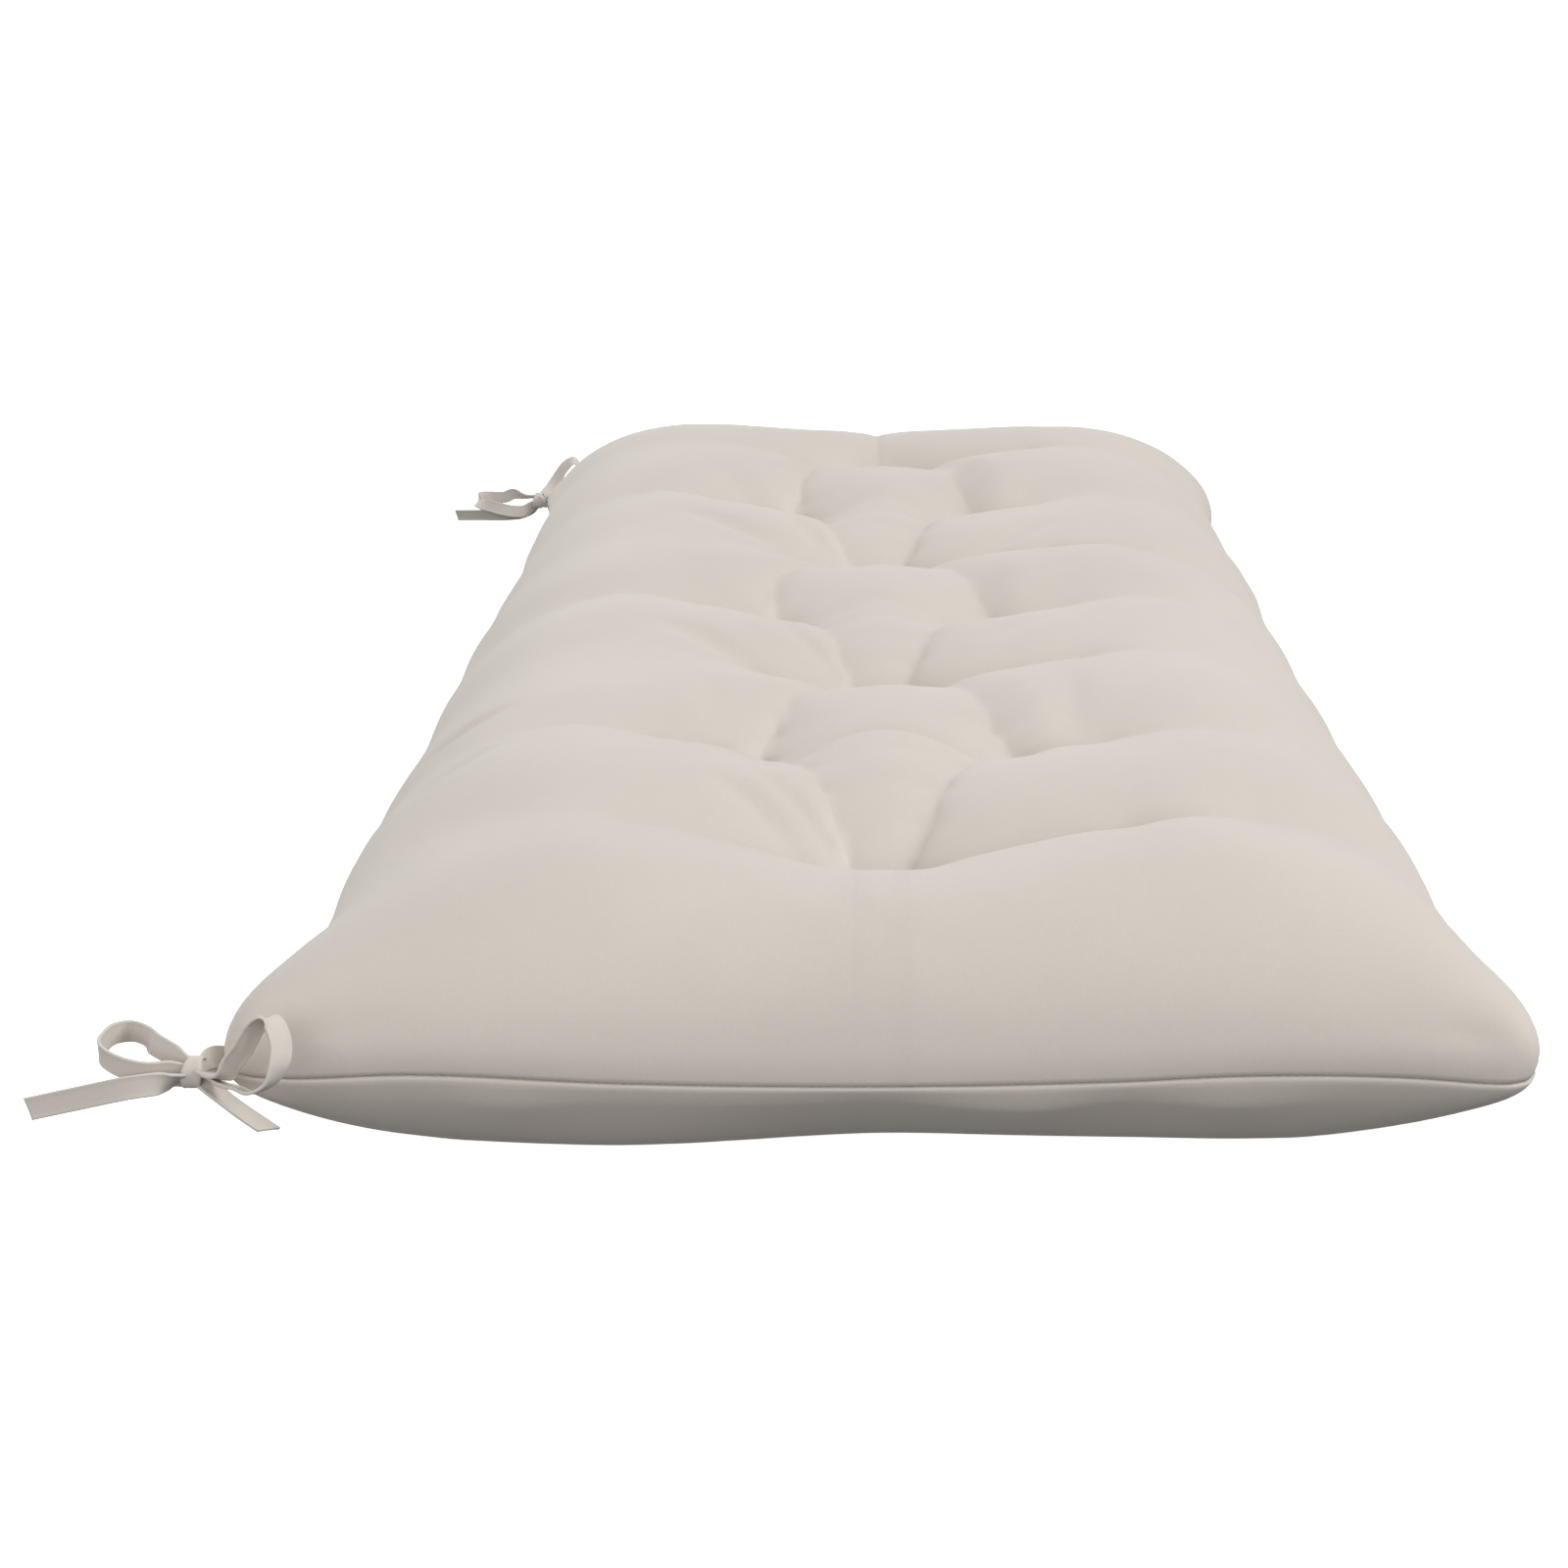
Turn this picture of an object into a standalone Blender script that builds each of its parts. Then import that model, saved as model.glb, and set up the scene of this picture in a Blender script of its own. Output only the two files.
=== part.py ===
"""Tufted bench cushion with two bows of narrow tape, lying flat.

Metres, +Z up. The origin is on the surface that the cushion lies on, under the middle of the cushion.
X runs across the cushion (the bows are on the -X side), Y runs along it.
"""

import math
from collections import namedtuple

import bmesh
import bpy
import numpy as np
from mathutils import Vector

# ---------------------------------------------------------------- driving sizes
LENGTH = 1.000        # seam to seam, along Y
HALF_LENGTH = LENGTH / 2
SEAM_HEIGHT = 0.0415  # the seam above the surface the cushion lies on, along the long sides
SEAM_BLEND = 0.120    # from each end this far in, the seam line's own waves die out
CORNER_ZONE = 0.016   # the seam is rounded within this far of each corner
CORNER_ROUND = 0.85   # 1 is a full quarter circle, 0 a square corner
CORNER_FULL = (1.0, 0.15)   # how full the top is at the near and the far corners, 0 thin to 1 full
BASE_CORNER_FULL = (0.35, 0.35)   # the same for the underside

TOP_ROLL_SIDE = 0.110    # the top rises from the seam to its full crown over this distance from a long side
TOP_ROLL_END = 0.118     # and over this from an end
BASE_ROLL_SIDE = 0.090   # the underside comes down from the seam over this distance from a long side

# The seam along an end: its height waves as the two cloths pull at it, and the underside comes down from it over
# base_roll.
EndSeamRow = namedtuple("EndSeamRow", "x height base_roll")
END_SEAM = [
    EndSeamRow(-0.252, 0.0425, 0.028),
    EndSeamRow(-0.225, 0.0395, 0.030),
    EndSeamRow(-0.181, 0.0409, 0.032),
    EndSeamRow(-0.099, 0.0373, 0.027),
    EndSeamRow(0.000, 0.0360, 0.040),
    EndSeamRow(0.089, 0.0380, 0.036),
    EndSeamRow(0.141, 0.0405, 0.034),
    EndSeamRow(0.202, 0.0396, 0.034),
    EndSeamRow(0.234, 0.0380, 0.030),
    EndSeamRow(0.252, 0.0425, 0.028),
]

# The seam in plan: x of the left and right long sides at each y. The sides are drawn in, and the corners stand out.
SideRow = namedtuple("SideRow", "y left right")
SIDES = [
    SideRow(-0.500, -0.2500, 0.2500),
    SideRow(-0.478, -0.2511, 0.2515),
    SideRow(-0.452, -0.2440, 0.2455),
    SideRow(-0.425, -0.2355, 0.2425),
    SideRow(-0.375, -0.2365, 0.2425),
    SideRow(-0.300, -0.2395, 0.2440),
    SideRow(-0.125, -0.2370, 0.2418),
    SideRow(0.000, -0.2388, 0.2406),
    SideRow(0.125, -0.2385, 0.2403),
    SideRow(0.210, -0.2365, 0.2424),
    SideRow(0.300, -0.2380, 0.2385),
    SideRow(0.375, -0.2372, 0.2380),
    SideRow(0.430, -0.2392, 0.2440),
    SideRow(0.470, -0.2440, 0.2490),
    SideRow(0.500, -0.2505, 0.2480),
]
PULL_AT_PLEAT = 0.0016   # each pleat draws the long seams in by this much
PLEAT_PULL_HALF = 0.030

# Height of the crown over the surface, along the middle of the cushion.
CrownRow = namedtuple("CrownRow", "y height")
CROWN = [
    CrownRow(-0.500, 0.106),
    CrownRow(-0.430, 0.107),
    CrownRow(-0.310, 0.104),
    CrownRow(-0.190, 0.101),
    CrownRow(-0.060, 0.100),
    CrownRow(0.060, 0.100),
    CrownRow(0.190, 0.102),
    CrownRow(0.310, 0.108),
    CrownRow(0.430, 0.119),
    CrownRow(0.500, 0.118),
]

# Tufts: rows along the cushion, one tuft or two in turn. depth is how far the top is pulled in at the tuft, and the
# last columns say how deep the pleat still is at three distances out towards each long side.
TuftRow = namedtuple("TuftRow", "y left right depth pleat_near pleat_mid pleat_far")
TUFTS = [
    TuftRow(-0.375, -0.010, 0.012, 0.034, 0.024, 0.012, 0.006),
    TuftRow(-0.250, -0.057, 0.065, 0.028, 0.018, 0.012, 0.006),
    TuftRow(-0.125, -0.013, 0.014, 0.028, 0.018, 0.010, 0.005),
    TuftRow(0.000, -0.057, 0.065, 0.028, 0.018, 0.011, 0.006),
    TuftRow(0.125, -0.013, 0.014, 0.028, 0.020, 0.012, 0.006),
    TuftRow(0.250, -0.057, 0.065, 0.028, 0.018, 0.011, 0.006),
    TuftRow(0.375, -0.010, 0.010, 0.030, 0.020, 0.010, 0.005),
]
PLEAT_X = (0.105, 0.160, 0.235)   # the three distances from the middle line
PLEAT_HALF = 0.058       # half the width over which a pleat draws the top in
DIAGONAL_HALF = 0.046    # the same for the creases that join the tufts
DIAGONAL_BELLY = 0.45    # the share of their depth that those creases lose halfway
END_CREASE_DEPTH = (0.012, 0.005)   # the soft valley from each last tuft down the end
END_CREASE_HALF = 0.070
BASE_DEPTH_SHARE = 0.24  # the underside has the same creases, this much as deep and as narrow as these
BASE_WIDTH_SHARE = 0.50

# Divisions of the cloth
ROLL_STEPS = 7
CROSS_STEP = 0.0135
ROW_STEPS = 6

# Tapes, in millimetres from the knot: the centre of the tape and the direction of its width.
TAPE_WIDTH = 0.009
TAPE_THICK = 0.0014
KNOT_SIZE = (0.0085, 0.0085, 0.0120)
NEAR_KNOT = (-0.2587, -0.5000, 0.0426)
FAR_KNOT = (-0.2555, 0.4998, 0.0420)
TapeRow = namedtuple("TapeRow", "x y z wx wy wz")
NEAR_LEFT_LOOP = [
    TapeRow(0.6, -1.2, 0.2, 0, 0, 1),
    TapeRow(-7.1, -3, 1.6, 0, 0, 1),
    TapeRow(-17.2, -6, 2.5, 0, 0, 1),
    TapeRow(-29.1, -2, 3.9, 0, 0, 1),
    TapeRow(-37.7, 8, 4.4, 0, 0, 1),
    TapeRow(-38.6, 17, 4.4, 0, 0, 1),
    TapeRow(-36.5, 24, 4.8, 0, 0, 1),
    TapeRow(-31.5, 28, 4.1, 0, 0, 1),
    TapeRow(-23.6, 22, 4.7, 0.15, 0, 0.98),
    TapeRow(-18.4, 14, 5.0, 0.5, 0, 0.86),
    TapeRow(-10.7, 8, 3.8, 0.5, 0, 0.86),
    TapeRow(-4.3, 3, 2.3, 0.3, 0.1, 0.95),
    TapeRow(1.3, 1.4, 0.9, 0, 0, 1),
]
NEAR_RIGHT_LOOP = [
    TapeRow(-1.1, 0.5, 2.0, -0.2, -0.3, 0.9),
    TapeRow(5.0, -4.5, 2.6, -0.1, -0.9, 0.42),
    TapeRow(10.8, -9.5, 3.1, -0.1, -0.9, 0.42),
    TapeRow(14.9, -13, 4.2, -0.35, -0.72, 0.6),
    TapeRow(18.1, -13.5, 9.4, -0.55, -0.5, 0.66),
    TapeRow(22.6, -13.5, 15.5, -0.55, -0.5, 0.66),
    TapeRow(28.4, -12.5, 24.6, -0.6, -0.6, 0.5),
    TapeRow(32.6, -12, 26.9, -0.65, -0.7, 0.25),
    TapeRow(35.4, -13, 24.2, -0.71, -0.7, 0.08),
    TapeRow(37.6, -16, 16.9, -0.71, -0.7, 0.05),
    TapeRow(36.5, -19, 10.6, -0.6, -0.75, 0.12),
    TapeRow(33.3, -20, 4.7, -0.3, -0.88, 0.3),
    TapeRow(26.4, -19.5, 0.8, 0, -0.92, 0.38),
    TapeRow(19.8, -15.5, 0.5, 0.1, -0.92, 0.36),
    TapeRow(12.9, -10.2, -1.0, 0.05, -0.93, 0.36),
    TapeRow(7.3, -5.2, -0.8, 0, -0.9, 0.42),
    TapeRow(-1.7, -0.6, -0.7, 0, -0.8, 0.6),
]
NEAR_LEFT_TAIL = [
    TapeRow(0.9, -0.3, -2.1, 0, 0, 1),
    TapeRow(-5.0, -6, -0.7, 0, -0.75, 0.65),
    TapeRow(-7.8, -9, -0.3, 0, -0.5, 0.85),
    TapeRow(-11.0, -11.5, 0.4, 0, 0.1, 1),
    TapeRow(-21.4, -13, -0.5, 0.05, 0.25, 0.97),
    TapeRow(-43.2, -9, -7.0, 0.05, 0.25, 0.97),
    TapeRow(-62.1, -6, -12.6, 0.05, 0.25, 0.97),
]
NEAR_RIGHT_TAIL = [
    TapeRow(-0.7, 0.2, -1.8, 0.1, 0.9, 0.4),
    TapeRow(5.6, -3, -4.1, 0.1, 0.92, 0.3),
    TapeRow(11.4, -5, -8.3, 0.12, 0.96, 0.09),
    TapeRow(17.5, -5.5, -13.4, 0.12, 0.96, 0.09),
    TapeRow(27.6, -5.5, -21.5, 0.12, 0.96, 0.09),
]
NEAR_BAND = [
    TapeRow(-0.4, 0.1, 1.2, 0, 0.5, 0.9),
    TapeRow(3.0, 4, 1.8, 0, 0.6, 0.8),
    TapeRow(5.0, 9, 1.2, 0, 0.8, 0.6),
]
FAR_LEFT_LOOP = [
    TapeRow(0.6, -1.2, 0.2, 0, 0, 1),
    TapeRow(-5.0, -4.5, -3.7, 0, 0, 1),
    TapeRow(-9.7, -9.5, -6.1, 0, 0.3, 0.95),
    TapeRow(-17.6, -12.5, -5.6, 0, 0.3, 0.95),
    TapeRow(-26.5, -13, -3.8, 0, 0.3, 0.95),
    TapeRow(-36.9, -9, -1.9, 0.1, 0.45, 0.88),
    TapeRow(-44.8, -1, -1.7, 0.3, 0.6, 0.7),
    TapeRow(-45.2, 8, 0.3, 0.05, 0.3, 0.95),
    TapeRow(-37.2, 10, 0.4, 0, 0, 1),
    TapeRow(-26.5, 9.5, 0.5, 0.1, -0.1, 0.97),
    TapeRow(-20.1, 8.5, 3.2, 0.2, -0.3, 0.93),
    TapeRow(-11.3, 5, 2.5, 0.1, -0.8, 0.5),
    TapeRow(-5.6, 2, 2.4, 0, -0.9, 0.4),
    TapeRow(1.3, 1.4, 0.9, 0, 0, 1),
]
FAR_RIGHT_LOOP = [
    TapeRow(-1.1, -0.5, 2.0, -0.2, 0.3, 0.9),
    TapeRow(3.6, 5, 3.0, -0.1, 0.85, 0.5),
    TapeRow(7.3, 10, 5.7, -0.5, 0.4, 0.75),
    TapeRow(12.6, 13, 13.6, -0.55, 0.5, 0.66),
    TapeRow(19.9, 12.5, 23.7, -0.4, 0.6, 0.6),
    TapeRow(25.8, 12, 27.8, -0.1, 0.8, 0.5),
    TapeRow(31.3, 13, 24.4, -0.5, 0.75, 0.2),
    TapeRow(33.0, 16, 16.8, -0.71, 0.7, 0.05),
    TapeRow(30.8, 19, 8.4, -0.5, 0.8, 0.15),
    TapeRow(22.7, 20, 1.2, -0.1, 0.92, 0.38),
    TapeRow(11.9, 14, -0.2, 0.1, 0.92, 0.36),
    TapeRow(5.4, 6, -0.8, 0, 0.8, 0.5),
    TapeRow(-1.7, 0.6, -0.7, 0, 0.8, 0.6),
]
FAR_LEFT_TAIL = [
    TapeRow(0.9, -0.3, -2.1, 0, 0, 1),
    TapeRow(-6.4, -0.6, -6.7, 0, -0.2, 0.97),
    TapeRow(-13.1, -2.5, -9.5, 0, -0.3, 0.95),
    TapeRow(-27.9, -5.5, -10.2, 0, -0.3, 0.95),
    TapeRow(-42.8, -7, -9.7, 0, -0.3, 0.95),
    TapeRow(-61.4, -7, -9.8, 0, -0.3, 0.95),
]
FAR_RIGHT_TAIL = [
    TapeRow(-0.7, -0.2, -1.8, 0.1, -0.9, 0.4),
    TapeRow(5.5, 3, -4.5, 0.15, -0.9, 0.3),
    TapeRow(11.5, 5, -9, 0.17, -0.95, 0.18),
    TapeRow(19, 5.5, -15.5, 0.17, -0.95, 0.18),
    TapeRow(28, 5.5, -24, 0.17, -0.95, 0.18),
]
FAR_BAND = [
    TapeRow(-0.4, -0.1, 1.2, 0, -0.5, 0.9),
    TapeRow(2.0, -4, 1.2, 0, -0.6, 0.8),
    TapeRow(2.6, -9, 1.2, 0, -0.8, 0.6),
]


# ---------------------------------------------------------------- helpers
def smooth_table(at, places, values):
    """A smooth curve through (places, values), read at each of at."""
    at = np.asarray(at, float)
    p = np.asarray(places, float)
    v = np.asarray(values, float)
    slope = np.gradient(v, p)
    i = np.clip(np.searchsorted(p, at) - 1, 0, len(p) - 2)
    h = p[i + 1] - p[i]
    t = np.clip((at - p[i]) / h, 0.0, 1.0)
    return (
        (2 * t**3 - 3 * t**2 + 1) * v[i]
        + (t**3 - 2 * t**2 + t) * h * slope[i]
        + (3 * t**2 - 2 * t**3) * v[i + 1]
        + (t**3 - t**2) * h * slope[i + 1]
    )


def quarter(s):
    """A quarter of an ellipse: 0 at s = 0, where it stands upright, and 1 from s = 1 on, where it is level."""
    return np.sqrt(1 - (1 - np.clip(s, 0.0, 1.0)) ** 2)


def rounded_edge(from_side, from_end, y, side_roll, end_roll, full):
    """How far the cloth has risen from the seam towards its full height, 0 to 1, near a side, an end or a corner."""
    a = quarter(from_side / side_roll)
    b = quarter(from_end / end_roll)
    thin = a * b
    thick = thin / np.cbrt(np.maximum(a**3 + b**3 - thin**3, 1e-12))
    share = np.where(y < 0, full[0], full[1])
    return thin + (thick - thin) * share


def side_lines(y):
    left = smooth_table(y, [r.y for r in SIDES], [r.left for r in SIDES])
    right = smooth_table(y, [r.y for r in SIDES], [r.right for r in SIDES])
    pull = sum(np.exp(-(((y - row.y) / PLEAT_PULL_HALF) ** 2)) for row in TUFTS) * PULL_AT_PLEAT
    return left + pull, right - pull


def crease(x, y, start, end, depth, half, belly=0.0):
    """The drop around one straight crease. depth holds its depth at both ends, and half its half width there."""
    ax, ay = start
    bx, by = end
    span = (bx - ax) ** 2 + (by - ay) ** 2
    t = np.clip(((x - ax) * (bx - ax) + (y - ay) * (by - ay)) / span, 0.0, 1.0)
    away = np.hypot(x - ax - t * (bx - ax), y - ay - t * (by - ay))
    deep = (depth[0] + (depth[1] - depth[0]) * t) * (1 - belly * 4 * t * (1 - t))
    wide = half[0] + (half[1] - half[0]) * t
    return deep * (1 - quarter(away / wide))


def creases(x, y, depth_share, width_share):
    """The drop of the cloth from all tufts, pleats and creases together."""
    total = np.zeros_like(x)

    def add(start, end, depth, half, belly=0.0):
        drop = crease(
            x, y, start, end,
            [d * depth_share for d in depth],
            [h * width_share for h in half],
            belly,
        )
        np.add(total, drop**3, out=total)

    for row in TUFTS:
        steps = [row.depth, row.pleat_near, row.pleat_mid, row.pleat_far]
        for side, tuft in ((-1, row.left), (1, row.right)):
            xs = [tuft] + [side * p for p in PLEAT_X]
            for k in range(3):
                add((xs[k], row.y), (xs[k + 1], row.y), steps[k : k + 2], (PLEAT_HALF, PLEAT_HALF))
        if abs(row.left) < 0.03:
            add((row.left, row.y), (row.right, row.y), (row.depth, row.depth), (PLEAT_HALF, PLEAT_HALF))
    for a, b in zip(TUFTS[:-1], TUFTS[1:]):
        for tuft_a, tuft_b in ((a.left, b.left), (a.right, b.right)):
            add(
                (tuft_a, a.y), (tuft_b, b.y), (a.depth, b.depth),
                (DIAGONAL_HALF, DIAGONAL_HALF), DIAGONAL_BELLY,
            )
    for row, end in ((TUFTS[0], -HALF_LENGTH), (TUFTS[-1], HALF_LENGTH)):
        add((0.0, row.y), (0.0, end), END_CREASE_DEPTH, (END_CREASE_HALF, END_CREASE_HALF))
    return np.cbrt(total)


def cushion_points(across, along):
    """The top and the underside of the cushion over a grid. across runs 0 to 1 over the width, along is y."""
    y = np.broadcast_to(along[:, None], (len(along), len(across))).copy()
    left, right = side_lines(y)
    x = left + (right - left) * across[None, :]
    from_side = np.minimum(x - left, right - x)
    from_end = np.minimum(y + HALF_LENGTH, HALF_LENGTH - y)
    crown = smooth_table(y, [r.y for r in CROWN], [r.height for r in CROWN])

    end_seam = smooth_table(x, [r.x for r in END_SEAM], [r.height for r in END_SEAM])
    base_roll = smooth_table(x, [r.x for r in END_SEAM], [r.base_roll for r in END_SEAM])
    blend = np.clip(1 - from_end / SEAM_BLEND, 0, 1)
    seam = SEAM_HEIGHT + (end_seam - SEAM_HEIGHT) * blend * blend * (3 - 2 * blend)
    top_edge = rounded_edge(from_side, from_end, y, TOP_ROLL_SIDE, TOP_ROLL_END, CORNER_FULL)
    base_edge = rounded_edge(from_side, from_end, y, BASE_ROLL_SIDE, base_roll, BASE_CORNER_FULL)
    top = seam + (crown - seam - creases(x, y, 1.0, 1.0)) * top_edge
    rise = creases(x, y, BASE_DEPTH_SHARE, BASE_WIDTH_SHARE)
    base = seam - (seam - rise) * base_edge

    # Round the corners in plan.
    p = np.clip(1 - from_side / CORNER_ZONE, 0, 1)
    q = np.clip(1 - from_end / CORNER_ZONE, 0, 1)
    x -= np.sign(x) * (p - p * np.sqrt(1 - CORNER_ROUND * q * q / 2)) * CORNER_ZONE
    y -= np.sign(y) * (q - q * np.sqrt(1 - CORNER_ROUND * p * p / 2)) * CORNER_ZONE
    return x, y, top, base


def grid_lines():
    roll = TOP_ROLL_SIDE * (1 - np.cos(np.linspace(0, math.pi / 2, ROLL_STEPS + 1)))
    half = min(-SIDES[7].left, SIDES[7].right)
    inner = half - TOP_ROLL_SIDE
    steps = int(round(2 * inner / CROSS_STEP))
    across = np.concatenate([
        roll / (2 * half),
        (TOP_ROLL_SIDE + 2 * inner * np.arange(1, steps) / steps) / (2 * half),
        1 - roll[::-1] / (2 * half),
    ])
    end = TOP_ROLL_END * (1 - np.cos(np.linspace(0, math.pi / 2, ROLL_STEPS + 1)))
    middle = []
    for a, b in zip(TUFTS[:-1], TUFTS[1:]):
        for k in range(ROW_STEPS):
            s = k / ROW_STEPS
            s = s - 0.35 / (2 * math.pi) * math.sin(2 * math.pi * s)   # closer together at the pleats
            middle.append(a.y + (b.y - a.y) * s)
    middle.append(TUFTS[-1].y)
    along = np.concatenate([-HALF_LENGTH + end[:-1], middle, (HALF_LENGTH - end[:-1])[::-1]])
    return across, along


def new_object(name, mesh, material):
    obj = bpy.data.objects.new(name, mesh)
    bpy.context.scene.collection.objects.link(obj)
    obj.data.materials.append(material)
    return obj


def cloth_material(name, colour, roughness):
    material = bpy.data.materials.new(name)
    material.use_nodes = True
    shader = material.node_tree.nodes["Principled BSDF"]
    shader.inputs["Base Color"].default_value = (*colour, 1.0)
    shader.inputs["Roughness"].default_value = roughness
    shader.inputs["Metallic"].default_value = 0.0
    return material


def make_cushion(material):
    across, along = grid_lines()
    x, y, top, base = cushion_points(across, along)
    rows, columns = x.shape
    bm = bmesh.new()
    upper = [[bm.verts.new((x[i, j], y[i, j], top[i, j])) for j in range(columns)] for i in range(rows)]
    lower = [
        [
            upper[i][j]
            if i in (0, rows - 1) or j in (0, columns - 1)
            else bm.verts.new((x[i, j], y[i, j], base[i, j]))
            for j in range(columns)
        ]
        for i in range(rows)
    ]
    for i in range(rows - 1):
        for j in range(columns - 1):
            bm.faces.new((upper[i][j], upper[i][j + 1], upper[i + 1][j + 1], upper[i + 1][j]))
            bm.faces.new((lower[i][j], lower[i + 1][j], lower[i + 1][j + 1], lower[i][j + 1]))
    mesh = bpy.data.meshes.new("cushion")
    bm.to_mesh(mesh)
    bm.free()
    mesh.shade_smooth()
    return new_object("cushion", mesh, material)


def curve_through(rows, per_span):
    """Points and width directions on a smooth curve through the rows of a tape, in metres."""
    values = np.array([tuple(r) for r in rows], float)
    values[:, :3] /= 1000
    out = []
    last = len(values) - 1
    for k in range(last):
        a = values[max(k - 1, 0)]
        b, c = values[k], values[k + 1]
        d = values[min(k + 2, last)]
        for s in range(per_span):
            t = s / per_span
            out.append(0.5 * (2 * b + (c - a) * t + (2 * a - 5 * b + 4 * c - d) * t**2 + (3 * b - a - 3 * c + d) * t**3))
    out.append(values[-1])
    return [(Vector(v[:3]), Vector(v[3:])) for v in out]


def ribbon(name, rows, per_span, knot):
    """A closed flat tape along rows, which are measured from the knot."""
    points = curve_through(rows, per_span)
    points = [(p + Vector(knot), w.normalized()) for p, w in points]
    bm = bmesh.new()
    rings = []
    for k, (p, w) in enumerate(points):
        before = points[max(k - 1, 0)][0]
        after = points[min(k + 1, len(points) - 1)][0]
        run = (after - before).normalized()
        w = (w - run * w.dot(run)).normalized()
        face = run.cross(w)
        a, b = w * TAPE_WIDTH / 2, face * TAPE_THICK / 2
        rings.append([bm.verts.new(p + s * a + t * b) for s, t in ((-1, -1), (1, -1), (1, 1), (-1, 1))])
    for r, q in zip(rings[:-1], rings[1:]):
        for k in range(4):
            bm.faces.new((r[k], r[(k + 1) % 4], q[(k + 1) % 4], q[k]))
    bm.faces.new(rings[0][::-1])
    bm.faces.new(rings[-1])
    bmesh.ops.recalc_face_normals(bm, faces=bm.faces)
    mesh = bpy.data.meshes.new(name)
    bm.to_mesh(mesh)
    bm.free()
    obj = bpy.data.objects.new(name, mesh)
    bpy.context.scene.collection.objects.link(obj)
    return obj


def make_tie(name, knot, tables, material):
    """A bow: the knot, two loops, two free ends and the short band that goes to the corner of the cushion."""
    bm = bmesh.new()
    bmesh.ops.create_uvsphere(bm, u_segments=12, v_segments=8, radius=0.5)
    for v in bm.verts:
        v.co = Vector(knot) + Vector([c * s for c, s in zip(v.co, KNOT_SIZE)])
    mesh = bpy.data.meshes.new(name)
    bm.to_mesh(mesh)
    bm.free()
    tie = new_object(name, mesh, material)
    strands = [ribbon("%s_strand_%d" % (name, k), rows, 2, knot) for k, rows in enumerate(tables)]
    for strand in strands:
        strand.hide_render = True
        strand.display_type = "WIRE"
        joined = tie.modifiers.new(strand.name, "BOOLEAN")
        joined.operation = "UNION"
        joined.solver = "EXACT"
        joined.use_self = True
        joined.object = strand
    return tie


def main():
    for obj in list(bpy.data.objects):
        bpy.data.objects.remove(obj, do_unlink=True)
    cover = cloth_material("cushion_cloth", (0.68, 0.62, 0.57), 0.85)
    tape = cloth_material("tie_cloth", (0.62, 0.57, 0.52), 0.85)
    make_cushion(cover)
    make_tie("tie_near", NEAR_KNOT, (NEAR_LEFT_LOOP, NEAR_RIGHT_LOOP, NEAR_LEFT_TAIL, NEAR_RIGHT_TAIL, NEAR_BAND), tape)
    make_tie("tie_far", FAR_KNOT, (FAR_LEFT_LOOP, FAR_RIGHT_LOOP, FAR_LEFT_TAIL, FAR_RIGHT_TAIL, FAR_BAND), tape)


main()
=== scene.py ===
import math
from collections import namedtuple

import bpy
import bmesh
import numpy as np
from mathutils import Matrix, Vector


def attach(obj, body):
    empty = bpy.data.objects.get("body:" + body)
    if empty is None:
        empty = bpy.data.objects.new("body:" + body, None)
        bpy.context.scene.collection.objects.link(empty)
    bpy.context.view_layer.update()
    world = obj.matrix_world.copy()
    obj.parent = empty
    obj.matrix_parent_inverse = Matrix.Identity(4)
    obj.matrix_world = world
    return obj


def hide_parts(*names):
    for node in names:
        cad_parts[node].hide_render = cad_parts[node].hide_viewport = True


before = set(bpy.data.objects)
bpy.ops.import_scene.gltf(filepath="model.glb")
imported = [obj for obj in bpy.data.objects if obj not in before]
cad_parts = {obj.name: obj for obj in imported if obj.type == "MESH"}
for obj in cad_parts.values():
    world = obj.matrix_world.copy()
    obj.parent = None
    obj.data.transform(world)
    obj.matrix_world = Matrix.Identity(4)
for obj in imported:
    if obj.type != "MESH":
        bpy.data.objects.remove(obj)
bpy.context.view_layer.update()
scene = bpy.context.scene

# ================================================================ camera
# The photograph is a square frame taken straight along the cushion from a little above, without roll.
camera_data = bpy.data.cameras.new("camera")
camera_data.sensor_width = 36.0
camera_data.lens = 57.40
camera_data.shift_x = -0.0569
camera_data.clip_start = 0.05
camera_data.clip_end = 100.0
camera = bpy.data.objects.new("camera", camera_data)
scene.collection.objects.link(camera)
camera.location = (-0.0026, -1.3575, 0.4506)
camera.rotation_euler = (math.radians(71.12), 0.0, 0.0)
scene.camera = camera
scene.view_settings.view_transform = "Standard"

# ================================================================ sizes shared with the solid model
HALF_LENGTH = 0.500
SEAM_HEIGHT = 0.0415
SEAM_BLEND = 0.120
CORNER_ZONE = 0.016
CORNER_ROUND = 0.85
CORNER_FULL = (1.0, 0.15)
BASE_CORNER_FULL = (0.35, 0.35)
TOP_ROLL_SIDE = 0.110
TOP_ROLL_END = 0.118
BASE_ROLL_SIDE = 0.090
SwellRow = namedtuple("SwellRow", "x near far")
SWELL = [                         # how far the top swells out over the seam at the near and the far end
    SwellRow(-0.250, 0.0000, 0.0010),
    SwellRow(-0.215, 0.0005, 0.0020),
    SwellRow(-0.170, 0.0007, 0.0020),
    SwellRow(-0.110, 0.0003, 0.0020),
    SwellRow(0.000, 0.0000, 0.0010),
    SwellRow(0.080, 0.0003, 0.0020),
    SwellRow(0.150, 0.0006, 0.0020),
    SwellRow(0.205, 0.0010, 0.0020),
    SwellRow(0.250, 0.0002, 0.0010),
]
SWELL_CORNER = (0.0000, 0.0028)   # and over the long sides at the near left and the near right corner
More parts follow.
